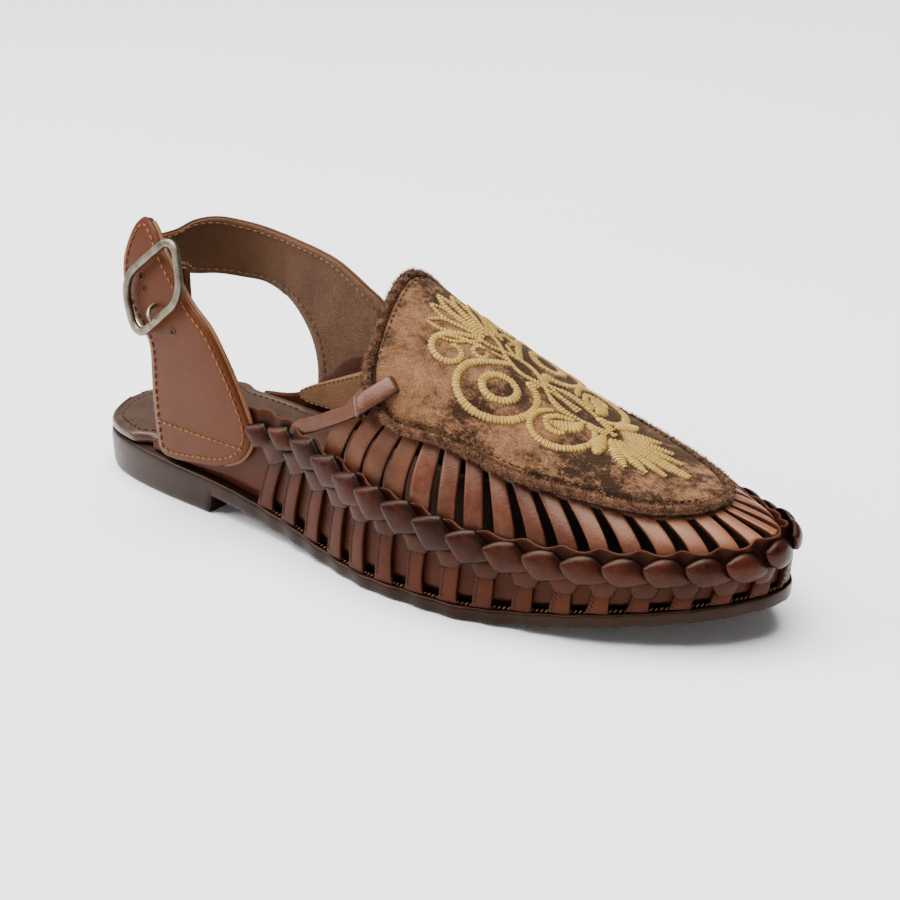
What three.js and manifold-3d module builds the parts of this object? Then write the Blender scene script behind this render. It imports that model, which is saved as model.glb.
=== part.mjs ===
// A right-foot slingback sandal with a braided side band, a slashed vamp and a velvet panel.
// Lengths are in mm. +X runs to the toe, +Y to the big-toe side, +Z up from the floor.

import * as THREE from 'three';
import { mergeVertices } from 'three/addons/utils/BufferGeometryUtils.js';
import Module from 'manifold-3d';

const wasm = await Module();
wasm.setup();

// Sole and footbed
const sole_length = 262;
const ball_lateral = 49.5;
const ball_medial = 42.5;
const heel_lift = 6.6;
const toe_spring = 11.1;
const slab_thickness = 4.5;
const heel_seat_length = 68.8;
const breast_rake = 1.6;
const sole_edge_round = 0.7;
const tread_inset = 0.8;
const footbed_thickness = 3.7;
const footbed_edge_inset = 0.5;
const footbed_round = 1.1;

// Fits
const clearance = 0.3;
const panel_gap = 0.7;

// Side band with its raised strips
const band_height = 34.6;
const band_wall = 2.0;
const band_inset = 2.4;
const band_start = 39;
const strips_lateral = 16;
const strips_medial = 15;
const braid_start = 91.8;
const braid_spare = 0.35;
const strip_width = 7.6;
const strip_rise = 1.5;
const rim_wave = 1.1;
const rim_flare = 0.5;

// Braid round the band
const braid_width = 11.4;
const braid_rise = 5.0;
const braid_below_rim = 1.3;

// Vamp under the panel
const instep_height = 84;
const throat_at = 127.5;
const throat_curve = 2.2;
const throat_slope = 1.2;
const vamp_wall = 1.6;
const vamp_hem = 6;
const vamp_below_rim = 2;
const vamp_strips = 16;
const vamp_pitch = 9.75;
const strip_share_low = 0.70;
const strip_share_high = 0.84;

// Velvet panel and its rolled edge
const panel_thickness = 2.2;
const roll_diameter = 3.2;

// Straps
const strap_thickness = 3.0;
const strap_height = 96;
const strap_width = 45;
const strap_foot_at = 49;
const strap_lean_from = 55;
const strap_lean_radius = 111;
const back_strap_thickness = 2.6;
const back_strap_top = 84;
const back_strap_heel = 20;
const back_strap_run = 97;
const back_strap_half = 29.5;
const lining_thickness = 1.3;
const lining_tab_from = 64;
const lining_tab_to = 88;
const lining_tab_above = 4;
const lining_tab_below = 1;
const throat_strap_width = 7.4;
const throat_strap_thickness = 1.8;

// Buckle
const frame_length = 30.5;
const frame_width = 20.5;
const frame_wire = 2.6;
const frame_corner = 7;
const frame_turn = THREE.MathUtils.degToRad(45);
const frame_x = 49.2;
const frame_z = 75.4;
const bar_wire = 2.2;
const prong_wire = 1.7;
const prong_off_centre = -4.4;
const prong_across = -4;
const prong_hole = 3.4;

// Sole outline, and the heights of its upper edge
const outline = [
  { at: 0, lateral: 0, medial: 0 },
  { at: 0.012, lateral: 0.245, medial: 0.308 },
  { at: 0.04, lateral: 0.453, medial: 0.518 },
  { at: 0.09, lateral: 0.59, medial: 0.727 },
  { at: 0.16, lateral: 0.669, medial: 0.755 },
  { at: 0.25, lateral: 0.721, medial: 0.729 },
  { at: 0.36, lateral: 0.766, medial: 0.659 },
  { at: 0.48, lateral: 0.895, medial: 0.706 },
  { at: 0.58, lateral: 1, medial: 0.871 },
  { at: 0.66, lateral: 0.998, medial: 0.976 },
  { at: 0.74, lateral: 0.911, medial: 1 },
  { at: 0.82, lateral: 0.81, medial: 0.906 },
  { at: 0.89, lateral: 0.64, medial: 0.718 },
  { at: 0.945, lateral: 0.45, medial: 0.495 },
  { at: 0.98, lateral: 0.262, medial: 0.29 },
  { at: 1, lateral: 0, medial: 0 },
];
const sole_rise = [
  { at: 0, heel: 0.7, toe: 0, slab: 1.78 },
  { at: 0.1, heel: 0.95, toe: 0, slab: 1.78 },
  { at: 0.25, heel: 1, toe: 0, slab: 1.47 },
  { at: 0.4, heel: 0.39, toe: 0, slab: 1.31 },
  { at: 0.53, heel: 0, toe: 0, slab: 1 },
  { at: 0.68, heel: 0, toe: 0, slab: 1.05 },
  { at: 0.85, heel: 0, toe: 0.5, slab: 0.96 },
  { at: 1, heel: 0, toe: 1, slab: 0.96 },
];

// Height of the band above the sole, and of the vamp's ridge above the floor
const band_rise = [
  { at: 0.145, rise: 0.1 },
  { at: 0.19, rise: 0.16 },
  { at: 0.225, rise: 0.26 },
  { at: 0.27, rise: 0.52 },
  { at: 0.305, rise: 0.77 },
  { at: 0.34, rise: 0.92 },
  { at: 0.4, rise: 1 },
  { at: 0.47, rise: 0.955 },
  { at: 0.55, rise: 0.895 },
  { at: 0.63, rise: 0.785 },
  { at: 0.72, rise: 0.67 },
  { at: 0.8, rise: 0.585 },
  { at: 0.9, rise: 0.505 },
  { at: 0.96, rise: 0.468 },
  { at: 1, rise: 0.53 },
];
const ridge = [
  { at: 0.47, height: 1.045 },
  { at: 0.5, height: 1 },
  { at: 0.542, height: 0.92 },
  { at: 0.592, height: 0.836 },
  { at: 0.66, height: 0.726 },
  { at: 0.723, height: 0.633 },
  { at: 0.782, height: 0.562 },
  { at: 0.828, height: 0.518 },
  { at: 0.863, height: 0.488 },
  { at: 0.92, height: 0.45 },
  { at: 0.954, height: 0.423 },
  { at: 0.985, height: 0.398 },
];
const girth_power = 2;
const girth_root = 1.6;

// Edge of the velvet panel, as shares of the sole length and of the half width inside the band
const panel_edge = [
  { at: 0.511, reach: 0.775 },
  { at: 0.565, reach: 0.85 },
  { at: 0.628, reach: 0.795 },
  { at: 0.702, reach: 0.77 },
  { at: 0.771, reach: 0.73 },
  { at: 0.836, reach: 0.685 },
  { at: 0.876, reach: 0.62 },
  { at: 0.905, reach: 0.46 },
  { at: 0.919, reach: 0.22 },
];

// How the vamp's strips fan out: strip number, and share of the way along the panel's edge
const fan = [
  { strip: 0, share: 0 },
  { strip: 1, share: 0.035 },
  { strip: 2, share: 0.085 },
  { strip: 5, share: 0.30 },
  { strip: 7, share: 0.455 },
  { strip: 11, share: 0.70 },
  { strip: 16.5, share: 1 },
];

// Lateral buckle strap, foot to tip: edges as shares of the strap's width and height
const buckle_strap = [
  { rear: 0.05, rear_up: 0.180, front: 0.74, front_up: 0.222 },
  { rear: 0.02, rear_up: 0.200, front: 0.87, front_up: 0.262 },
  { rear: 0.00, rear_up: 0.245, front: 0.94, front_up: 0.320 },
  { rear: -0.02, rear_up: 0.375, front: 0.93, front_up: 0.385 },
  { rear: -0.02, rear_up: 0.460, front: 0.87, front_up: 0.460 },
  { rear: -0.07, rear_up: 0.590, front: 0.72, front_up: 0.590 },
  { rear: -0.15, rear_up: 0.660, front: 0.56, front_up: 0.690 },
  { rear: -0.27, rear_up: 0.735, front: 0.35, front_up: 0.785 },
  { rear: -0.40, rear_up: 0.825, front: 0.16, front_up: 0.870 },
  { rear: -0.41, rear_up: 0.905, front: -0.01, front_up: 0.935 },
  { rear: -0.34, rear_up: 0.970, front: -0.12, front_up: 0.980 },
  { rear: -0.27, rear_up: 0.995, front: -0.19, front_up: 0.998 },
];

// Back strap, foot on the big-toe side, round the heel, to the buckle: runs from the heel's
// middle as shares of the strap's run, and heights as shares of its top
const back_strap = [
  { low_run: 0.625, low_up: 0.235, top_run: 0.985, top_up: 0.30 },
  { low_run: 0.628, low_up: 0.300, top_run: 1.000, top_up: 0.44 },
  { low_run: 0.630, low_up: 0.381, top_run: 1.000, top_up: 0.60 },
  { low_run: 0.620, low_up: 0.454, top_run: 0.965, top_up: 0.742 },
  { low_run: 0.597, low_up: 0.523, top_run: 0.893, top_up: 0.798 },
  { low_run: 0.558, low_up: 0.589, top_run: 0.761, top_up: 0.871 },
  { low_run: 0.505, low_up: 0.649, top_run: 0.650, top_up: 0.903 },
  { low_run: 0.403, low_up: 0.711, top_run: 0.480, top_up: 0.937 },
  { low_run: 0.306, low_up: 0.731, top_run: 0.335, top_up: 0.975 },
  { low_run: 0.218, low_up: 0.750, top_run: 0.225, top_up: 1.000 },
  { low_run: 0.149, low_up: 0.758, top_run: 0.149, top_up: 0.993 },
  { low_run: 0.075, low_up: 0.774, top_run: 0.075, top_up: 0.965 },
  { low_run: -0.05, low_up: 0.785, top_run: -0.05, top_up: 0.965 },
  { low_run: -0.20, low_up: 0.790, top_run: -0.20, top_up: 0.975 },
  { low_run: -0.38, low_up: 0.790, top_run: -0.38, top_up: 0.980 },
  { low_run: -0.53, low_up: 0.790, top_run: -0.53, top_up: 0.980 },
];

// Throat strap: beside the band by height, then over the vamp by its lift off that surface
const throat_strap = [
  { at: 0.403, reach: 0.975, rise: 0.370, over: 0 },
  { at: 0.424, reach: 0.975, rise: 0.490, over: 0 },
  { at: 0.463, reach: 1.030, rise: 0.585, over: 0 },
  { at: 0.494, reach: 1.030, rise: 0.640, over: 0 },
  { at: 0.516, reach: 0.820, rise: 0, over: 1.28 },
  { at: 0.538, reach: 0.730, rise: 0, over: 0.86 },
];

// A curve without overshoot through one column of a table
function smooth(rows, key, along = 'at') {
  const x = rows.map((row) => row[along]);
  const y = rows.map((row) => row[key]);
  const slope = x.slice(1).map((value, i) => (y[i + 1] - y[i]) / (value - x[i]));
  const tangent = x.map((value, i) => {
    if (i === 0) return slope[0];
    if (i === x.length - 1) return slope[i - 1];
    if (slope[i - 1] * slope[i] <= 0) return 0;
    return (2 * slope[i - 1] * slope[i]) / (slope[i - 1] + slope[i]);
  });
  return (value) => {
    const t = Math.min(Math.max(value, x[0]), x[x.length - 1]);
    let i = 0;
    while (i < x.length - 2 && t > x[i + 1]) i += 1;
    const step = x[i + 1] - x[i];
    const u = (t - x[i]) / step;
    const rise = (1 - u) * (1 - u) * (1 + 2 * u) * y[i] + u * u * (3 - 2 * u) * y[i + 1];
    return rise + step * u * (1 - u) * ((1 - u) * tangent[i] - u * tangent[i + 1]);
  };
}

// Round-ended columns are read against an angle, so that heel and toe stay round
const turned = outline.map((row) => ({ ...row, turn: Math.acos(1 - 2 * row.at) }));
const lateral_share = smooth(turned, 'lateral', 'turn');
const medial_share = smooth(turned, 'medial', 'turn');
const heel_share = smooth(sole_rise, 'heel');
const toe_share = smooth(sole_rise, 'toe');
const slab_share = smooth(sole_rise, 'slab');
const band_share = smooth(band_rise, 'rise');
const ridge_share = smooth(ridge, 'height');
const fan_share = smooth(fan, 'share', 'strip');

function halfWidth(side, at) {
  const turn = Math.acos(1 - 2 * Math.min(Math.max(at, 0), 1));
  return side < 0 ? ball_lateral * lateral_share(turn) : ball_medial * medial_share(turn);
}

function underside(at) {
  return heel_lift * heel_share(at) + toe_spring * toe_share(at);
}

function soleTop(at) {
  return underside(at) + slab_thickness * slab_share(at);
}

function rimHeight(x) {
  const at = x / sole_length;
  return soleTop(at) + band_height * band_share(at);
}

// The sole's edge as a walk from the toe back along each side
function edgeWalk(side) {
  const count = 400;
  const walk = [];
  let run = 0;
  for (let i = 0; i <= count; i += 1) {
    const at = (1 + Math.cos((i * Math.PI) / count)) / 2;
    const point = new THREE.Vector2(at * sole_length, side * halfWidth(side, at));
    if (i > 0) run += point.distanceTo(walk[i - 1].point);
    walk.push({ point, run });
  }
  return walk;
}

const walks = { '-1': edgeWalk(-1), 1: edgeWalk(1) };

// Plan point a run back from the toe, moved in from the sole's edge
function edgePoint(run, inset) {
  const side = run < 0 ? -1 : 1;
  const walk = walks[side];
  const target = Math.abs(run);
  let i = 1;
  while (i < walk.length - 1 && walk[i].run < target) i += 1;
  const from = walk[i - 1];
  const to = walk[i];
  const share = (target - from.run) / (to.run - from.run);
  const point = from.point.clone().lerp(to.point, share);
  const along = to.point.clone().sub(from.point).normalize();
  const inward = new THREE.Vector2(-along.y * side, along.x * side);
  return point.addScaledVector(inward, inset);
}

function runAtX(side, x) {
  const walk = walks[side];
  let i = 1;
  while (i < walk.length - 1 && walk[i].point.x > x) i += 1;
  const share = (walk[i - 1].point.x - x) / (walk[i - 1].point.x - walk[i].point.x);
  return side * (walk[i - 1].run + share * (walk[i].run - walk[i - 1].run));
}

// Half width of the room inside a line that runs a fixed inset from the sole's edge
function insetWidth(inset) {
  const lines = {};
  for (const side of [-1, 1]) {
    const points = walks[side]
      .filter((step) => step.run > 0)
      .map((step) => edgePoint(side * step.run, inset))
      .filter((point) => point.y * side > 0);
    lines[side] = points;
  }
  const width = (side, x) => {
    const points = lines[side];
    if (x >= points[0].x) return 0;
    let i = 1;
    while (i < points.length - 1 && points[i].x > x) i += 1;
    const share = (points[i - 1].x - x) / (points[i - 1].x - points[i].x);
    return Math.abs(points[i - 1].y + share * (points[i].y - points[i - 1].y));
  };
  return width;
}

const strip_pitch = Math.abs(runAtX(-1, braid_start)) / (strips_lateral + braid_spare);
const vamp_inset = band_inset + band_wall + clearance;
const roomWidth = insetWidth(vamp_inset);

// Triangles from points and from faces of three or four corners, turned to face outwards
function body(points, faces) {
  const index = [];
  for (const face of faces) {
    index.push(face[0], face[1], face[2]);
    if (face.length === 4) index.push(face[0], face[2], face[3]);
  }
  let volume = 0;
  for (let i = 0; i < index.length; i += 3) {
    const [a, b, c] = [points[index[i]], points[index[i + 1]], points[index[i + 2]]];
    volume += a.dot(new THREE.Vector3().crossVectors(b, c));
  }
  if (volume < 0) index.reverse();
  const geometry = new THREE.BufferGeometry();
  const flat = points.flatMap((point) => [point.x, point.y, point.z]);
  geometry.setAttribute('position', new THREE.Float32BufferAttribute(flat, 3));
  geometry.setIndex(index);
  return geometry;
}

// A body through rings of points, closed by a fan at each end or run round into itself
function skin(rings, looped = false) {
  const size = rings[0].length;
  const points = rings.flat();
  const faces = [];
  const last = looped ? rings.length : rings.length - 1;
  for (let i = 0; i < last; i += 1) {
    const next = (i + 1) % rings.length;
    for (let j = 0; j < size; j += 1) {
      const k = (j + 1) % size;
      faces.push([i * size + j, i * size + k, next * size + k, next * size + j]);
    }
  }
  if (!looped) {
    for (const [ring, turn] of [[0, false], [rings.length - 1, true]]) {
      const middle = new THREE.Vector3();
      rings[ring].forEach((point) => middle.addScaledVector(point, 1 / size));
      points.push(middle);
      for (let j = 0; j < size; j += 1) {
        const a = ring * size + j;
        const b = ring * size + ((j + 1) % size);
        faces.push(turn ? [a, b, points.length - 1] : [b, a, points.length - 1]);
      }
    }
  }
  return body(points, faces);
}

// A sheet of faces given a wall on its inner side, with every free edge closed
function thicken(points, faces, wall) {
  const normals = points.map(() => new THREE.Vector3());
  for (const face of faces) {
    const [a, b, c, last = points[face[0]]] = face.map((index) => points[index]);
    const across = new THREE.Vector3().crossVectors(c.clone().sub(a), last.clone().sub(b));
    face.forEach((index) => normals[index].add(across));
  }
  const inner = points.map((point, i) => point.clone().addScaledVector(normals[i].normalize(), -wall));
  const count = points.length;
  const all = faces.map((face) => [...face]);
  const edges = new Map();
  for (const face of faces) {
    all.push(face.map((index) => index + count).reverse());
    face.forEach((index, i) => {
      const next = face[(i + 1) % face.length];
      edges.set(`${index},${next}`, [index, next]);
    });
  }
  for (const [a, b] of edges.values()) {
    if (!edges.has(`${b},${a}`)) all.push([b, a, a + count, b + count]);
  }
  return body([...points, ...inner], all);
}

// Points in rows and the faces between them
function gridFaces(rows, columns) {
  const faces = [];
  for (let i = 0; i < rows - 1; i += 1) {
    for (let j = 0; j < columns - 1; j += 1) {
      const a = i * columns + j;
      faces.push([a, a + 1, a + columns + 1, a + columns]);
    }
  }
  return faces;
}

function toSolid(geometry) {
  const plain = geometry.clone();
  plain.deleteAttribute('normal');
  plain.deleteAttribute('uv');
  const merged = mergeVertices(plain, 1e-4);
  return new wasm.Manifold(new wasm.Mesh({
    numProp: 3,
    vertProperties: new Float32Array(merged.attributes.position.array),
    triVerts: new Uint32Array(merged.index.array),
  }));
}

function toGeometry(solid) {
  const result = solid.getMesh();
  const geometry = new THREE.BufferGeometry();
  geometry.setAttribute('position', new THREE.BufferAttribute(new Float32Array(result.vertProperties), 3));
  geometry.setIndex(Array.from(result.triVerts));
  return geometry;
}

const group = new THREE.Group();

function addPiece(name, geometry, color, roughness, metalness = 0) {
  const material = new THREE.MeshStandardMaterial({ color, roughness, metalness });
  const mesh = new THREE.Mesh(geometry, material);
  mesh.name = name;
  group.add(mesh);
}

// Stations along the sole, close together where heel and toe turn
function stations(count) {
  const list = [];
  for (let i = 0; i <= count; i += 1) list.push((1 - Math.cos((i * Math.PI) / count)) / 2);
  list[0] = list[1] * 0.12;
  list[count] = 1 - list[0];
  return list;
}

// One moulded sole: slab, low heel with its breast, and toe spring
function makeOutsole() {
  const breast = [heel_seat_length, heel_seat_length + breast_rake].map((x) => x / sole_length);
  const places = stations(44)
    .filter((at) => breast.every((edge) => Math.abs(edge - at) > 0.006))
    .concat(breast)
    .sort((a, b) => a - b);
  const rings = places.map((at) => {
    const bottom = at <= breast[0] ? 0 : underside(at);
    const top = soleTop(at);
    const x = at * sole_length;
    const side = (sign) => {
      const half = halfWidth(sign, at);
      const tread = Math.min(tread_inset, half * 0.5);
      const round = Math.min(sole_edge_round, half * 0.3);
      return [
        new THREE.Vector3(x, sign * (half - tread), bottom),
        new THREE.Vector3(x, sign * (half - round * 0.5), bottom + tread * 0.6),
        new THREE.Vector3(x, sign * half, top - round),
        new THREE.Vector3(x, sign * (half - round), top),
      ];
    };
    return [...side(-1), ...side(1).reverse()];
  });
  return skin(rings);
}

// Footbed: full width round the heel, then narrowed to lie inside the band
function footbedInset(at) {
  const start = band_start / sole_length;
  const share = THREE.MathUtils.smoothstep(at, start * 0.72, start * 0.97);
  return THREE.MathUtils.lerp(footbed_edge_inset, vamp_inset, share);
}

function makeFootbed() {
  const heel_end = footbed_edge_inset;
  const toe_end = sole_length - vamp_inset;
  const rings = stations(32).map((share) => {
    const x = THREE.MathUtils.lerp(heel_end, toe_end, share);
    const at = x / sole_length;
    const base = soleTop(at) + clearance;
    const side = (sign) => {
      const width = share > 0.5 ? roomWidth(sign, x) : halfWidth(sign, at) - footbedInset(at);
      const half = Math.max(width, 1);
      const round = Math.min(footbed_round, half * 0.4);
      return [
        new THREE.Vector3(x, sign * (half - round * 0.4), base),
        new THREE.Vector3(x, sign * half, base + footbed_thickness * 0.45),
        new THREE.Vector3(x, sign * (half - round), base + footbed_thickness),
      ];
    };
    return [...side(-1), ...side(1).reverse()];
  });
  return skin(rings);
}

// How far from the toe the raised strips and the braid go on one side
function stripReach(side) {
  return (side < 0 ? strips_lateral : strips_medial) * strip_pitch;
}

// Runs round the band at which its section is taken, with the strip that each belongs to
function bandLines() {
  const ends = [-1, 1].map((side) => runAtX(side, band_start));
  const half_pitch = strip_pitch / 2;
  const lines = [];
  const plain = 8;
  for (let i = 0; i < plain; i += 1) {
    lines.push({ run: THREE.MathUtils.lerp(ends[0], -stripReach(-1) - half_pitch, i / plain), rise: 0 });
  }
  for (let k = -strips_lateral; k <= strips_medial; k += 1) {
    const middle = k * strip_pitch;
    const half = strip_width / 2;
    lines.push({ run: middle - half - clearance, rise: 0 });
    lines.push({ run: middle - half, rise: 1 });
    lines.push({ run: middle, rise: 1 });
    lines.push({ run: middle + half, rise: 1 });
    lines.push({ run: middle + half + clearance, rise: 0 });
  }
  for (let i = 0; i <= plain; i += 1) {
    lines.push({ run: THREE.MathUtils.lerp(stripReach(1) + half_pitch, ends[1], i / plain), rise: 0 });
  }
  return lines;
}

function bandRim(run) {
  return rimHeight(edgePoint(run, band_inset).x);
}

// The band stands on the sole; strips stand proud of it and its upper rim waves in and out
function makeSideBand() {
  const rings = bandLines().map(({ run, rise }) => {
    const place = edgePoint(run, band_inset);
    const foot = soleTop(place.x / sole_length) + clearance;
    const rim = Math.max(bandRim(run), foot + band_wall);
    const beyond = stripReach(Math.sign(run)) + strip_pitch - Math.abs(run);
    const braided = THREE.MathUtils.smoothstep(beyond, 0, strip_pitch);
    const wave = rim_wave * braided * Math.cos((2 * Math.PI * run) / strip_pitch) - rim_flare * braided;
    const under_braid = THREE.MathUtils.lerp(rim * 0.5 + foot * 0.5, rim - braid_below_rim - braid_width, braided);
    const neck = THREE.MathUtils.lerp(rim * 0.8 + foot * 0.2, rim - braid_below_rim - 1.2, braided);
    const at = (inset, z) => {
      const point = edgePoint(run, inset);
      return new THREE.Vector3(point.x, point.y, z);
    };
    const strip = band_inset - strip_rise * rise;
    return [
      at(strip, foot),
      at(strip, under_braid - clearance * 2),
      at(band_inset, under_braid - clearance),
      at(band_inset, neck),
      at(band_inset + 0.4 - wave, rim),
      at(band_inset + band_wall - 0.5 - Math.max(wave, 0), rim - 0.4),
      at(band_inset + band_wall, neck),
      at(band_inset + band_wall, foot),
    ];
  });
  return skin(rings);
}

// The braid is one ring of stepped strands, its upper and lower rows half a pitch apart
function makeBraid() {
  const per_pitch = 4;
  const spare = braid_spare * strip_pitch;
  const from = -stripReach(-1) - spare;
  const to = stripReach(1) + spare;
  const count = Math.round(((to - from) * per_pitch) / strip_pitch);
  const back = band_inset - clearance;
  const rings = [];
  for (let i = 0; i <= count; i += 1) {
    const run = THREE.MathUtils.lerp(from, to, i / count);
    const rim = bandRim(run);
    const top = rim - braid_below_rim - clearance;
    const low = rim - braid_below_rim - braid_width + clearance;
    const phase = (2 * Math.PI * run) / strip_pitch;
    const upper = 0.86 + 0.14 * Math.cos(phase);
    const lower = 0.66 - 0.14 * Math.cos(phase);
    const to_end = Math.min(run - from, to - run);
    const end = 0.4 + 0.6 * THREE.MathUtils.smoothstep(to_end, 0, strip_pitch * 0.5);
    const at = (rise, share) => {
      const point = edgePoint(run, back - braid_rise * rise * end);
      return new THREE.Vector3(point.x, point.y, THREE.MathUtils.lerp(low, top, share));
    };
    rings.push([
      at(0, 0),
      at(lower * 0.6, 0.02),
      at(lower, 0.24),
      at(Math.min(lower, upper) * 0.86, 0.46),
      at(upper, 0.7),
      at(upper * 0.55, 0.98),
      at(0, 1),
    ]);
  }
  return skin(rings);
}

// Height of the vamp's outer face over a plan point
function vampHeight(x, y) {
  const side = y < 0 ? -1 : 1;
  const base = rimHeight(x) - vamp_below_rim;
  const face = instep_height * ridge_share(x / sole_length);
  const crown = Math.max(face - panel_gap - panel_thickness, base + vamp_wall);
  const share = Math.min(Math.abs(y) / Math.max(roomWidth(side, x), 0.5), 1);
  return base + (crown - base) * (1 - share ** girth_power) ** (1 / girth_root);
}

function vampPoint(x, y, lift = 0) {
  const step = 0.25;
  const point = new THREE.Vector3(x, y, vampHeight(x, y));
  if (lift === 0) return point;
  const slope_x = (vampHeight(x + step, y) - vampHeight(x - step, y)) / (2 * step);
  const slope_y = (vampHeight(x, y + step) - vampHeight(x, y - step)) / (2 * step);
  return point.addScaledVector(new THREE.Vector3(-slope_x, -slope_y, 1).normalize(), lift);
}

// Plan line of the panel's edge on one side, from the toe back to the throat corner
function panelSide(side) {
  const points = panel_edge.map(({ at, reach }) => {
    const x = at * sole_length;
    return new THREE.Vector3(x, side * reach * roomWidth(side, x), 0);
  });
  const tip = new THREE.Vector3(0.9225 * sole_length, 0, 0);
  return new THREE.CatmullRomCurve3([...points, tip].reverse(), false, 'centripetal');
}

const panel_sides = { '-1': panelSide(-1), 1: panelSide(1) };

// Rows across the vamp, one for each edge of each strip, toe to throat
function vampRows() {
  const rows = [];
  for (let k = 0; k <= vamp_strips; k += 1) {
    for (const edge of k === 0 ? [1] : [-1, 1]) {
      rows.push({
        low: (k + (edge * strip_share_low) / 2) * vamp_pitch,
        high: k === vamp_strips && edge > 0 ? 1 : fan_share(k + (edge * strip_share_high) / 2),
        strip_after: edge < 0,
      });
    }
  }
  return rows;
}

// The throat's edge falls back in the middle from its two corners
function throatX(plan, corner) {
  const share = Math.min(Math.abs(plan.y / corner.y), 1);
  return THREE.MathUtils.lerp(throat_at, corner.x, share ** throat_curve);
}

// The vamp: slashed strips down each side, a whole ground under the panel, a hem inside the band
function makeVamp() {
  const flank = 5;
  const ground = 5;
  const rows = vampRows();
  const columns = 2 * (flank + 2) + ground;
  const sideLine = (side, row) => {
    const low = edgePoint(side * row.low, vamp_inset);
    const high = panel_sides[side].getPointAt(row.high);
    const foot = vampPoint(low.x, low.y);
    const line = [foot.clone().setZ(foot.z - vamp_hem), foot];
    for (let n = 1; n <= flank; n += 1) {
      const share = 1 - Math.cos((n / flank) * Math.PI * 0.5);
      const x = THREE.MathUtils.lerp(low.x, high.x, share);
      line.push(vampPoint(x, THREE.MathUtils.lerp(low.y, high.y, share)));
    }
    return line;
  };
  const points = rows.flatMap((row, i) => {
    const near = sideLine(-1, row);
    const far = sideLine(1, row).reverse();
    const across = [];
    for (let n = 1; n <= ground; n += 1) {
      const plan = near[flank + 1].clone().lerp(far[0], n / (ground + 1));
      const x = i === rows.length - 1 ? throatX(plan, near[flank + 1]) : plan.x;
      across.push(vampPoint(x, plan.y));
    }
    return [...near, ...across, ...far];
  });
  const faces = [];
  for (let i = 0; i < rows.length - 1; i += 1) {
    for (let j = 0; j < columns - 1; j += 1) {
      const from_side = Math.min(j, columns - 2 - j);
      const slashed = from_side >= 1 && from_side <= flank && !rows[i].strip_after;
      const a = i * columns + j;
      if (!slashed) faces.push([a, a + 1, a + columns + 1, a + columns]);
    }
  }
  // The toe strip lies between the two halves of the first row
  for (let j = 0; j < flank; j += 1) {
    const k = columns - 1 - j;
    faces.push([j, k, k - 1, j + 1]);
  }
  const middle = (columns - 1) / 2;
  for (let j = flank; j < middle; j += 1) {
    const anchor = flank;
    const opposite = columns - 1 - flank;
    if (j > anchor) faces.push([anchor, j + 1, j]);
    if (j > anchor) faces.push([opposite, columns - 1 - j, columns - 2 - j]);
  }
  faces.push([flank, columns - 1 - flank, middle]);
  return thicken(points, faces, vamp_wall);
}

// A point on the vamp, moved in from the panel's outer line and lifted off the surface
function panelPoint(side, share, inset, lift) {
  const line = panel_sides[side];
  const place = line.getPointAt(share);
  const along = line.getTangentAt(share);
  const on_face = vampPoint(place.x, place.y);
  const ahead = vampPoint(place.x + along.x, place.y + along.y).sub(on_face).normalize();
  const normal = vampPoint(place.x, place.y, 1).sub(on_face);
  const inward = new THREE.Vector3().crossVectors(normal, ahead).multiplyScalar(side);
  const moved = on_face.addScaledVector(inward, inset);
  return vampPoint(moved.x, moved.y, lift);
}

// Throat edge of the panel from the lateral corner to the other, moved forward by an inset
function throatPoint(share, inset, lift) {
  const corners = [-1, 1].map((side) => panelPoint(side, 1, 0, 0));
  const plan = corners[0].clone().lerp(corners[1], share);
  return vampPoint(throatX(plan, corners[0]) + inset, plan.y, lift);
}

// The velvet panel lies on the vamp's ground, inside its rolled edge
function makePanel() {
  const rows = 16;
  const across = 8;
  const inset = roll_diameter + 1.5 * clearance;
  const lift = panel_gap + panel_thickness;
  const end = 1 - inset / panel_sides['-1'].getLength();
  const corner = panelPoint(-1, 1, 0, 0);
  const points = [];
  for (let i = 0; i <= rows; i += 1) {
    const share = THREE.MathUtils.lerp(0.02, end, (i / rows) ** 1.25);
    const near = panelPoint(-1, share, inset, lift);
    const far = panelPoint(1, share, inset, lift);
    for (let n = 0; n <= across; n += 1) {
      const plan = near.clone().lerp(far, n / across);
      const on_edge = n === 0 || n === across;
      const x = i === rows ? throatX(plan, corner) + inset * throat_slope : plan.x;
      points.push(on_edge ? [near, far][n / across] : vampPoint(x, plan.y, lift));
    }
  }
  return thicken(points, gridFaces(rows + 1, across + 1), panel_thickness);
}

// The rolled edge is a cord of velvet sewn round the panel
function makeRoll() {
  const radius = roll_diameter / 2;
  const lift = panel_gap + radius;
  const route = [];
  for (let i = 0; i <= 22; i += 1) route.push(panelPoint(-1, THREE.MathUtils.lerp(0.01, 0.985, i / 22), radius, lift));
  for (let i = 1; i <= 9; i += 1) route.push(throatPoint(i / 10, radius, lift));
  for (let i = 22; i >= 0; i -= 1) route.push(panelPoint(1, THREE.MathUtils.lerp(0.01, 0.985, i / 22), radius, lift));
  const line = new THREE.CatmullRomCurve3(route, true, 'centripetal');
  const steps = 66;
  const sides = 5;
  const rings = [];
  for (let i = 0; i < steps; i += 1) {
    const middle = line.getPointAt(i / steps);
    const along = line.getTangentAt(i / steps);
    const up = vampPoint(middle.x, middle.y, 1).sub(vampPoint(middle.x, middle.y));
    const out = new THREE.Vector3().crossVectors(along, up).normalize();
    const ring = [];
    for (let n = 0; n < sides; n += 1) {
      const turn = ((n + 0.5) / sides) * 2 * Math.PI;
      const point = middle.clone().addScaledVector(out, radius * Math.cos(turn));
      ring.push(point.addScaledVector(up, radius * Math.sin(turn)));
    }
    rings.push(ring);
  }
  return skin(rings, true);
}

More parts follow.
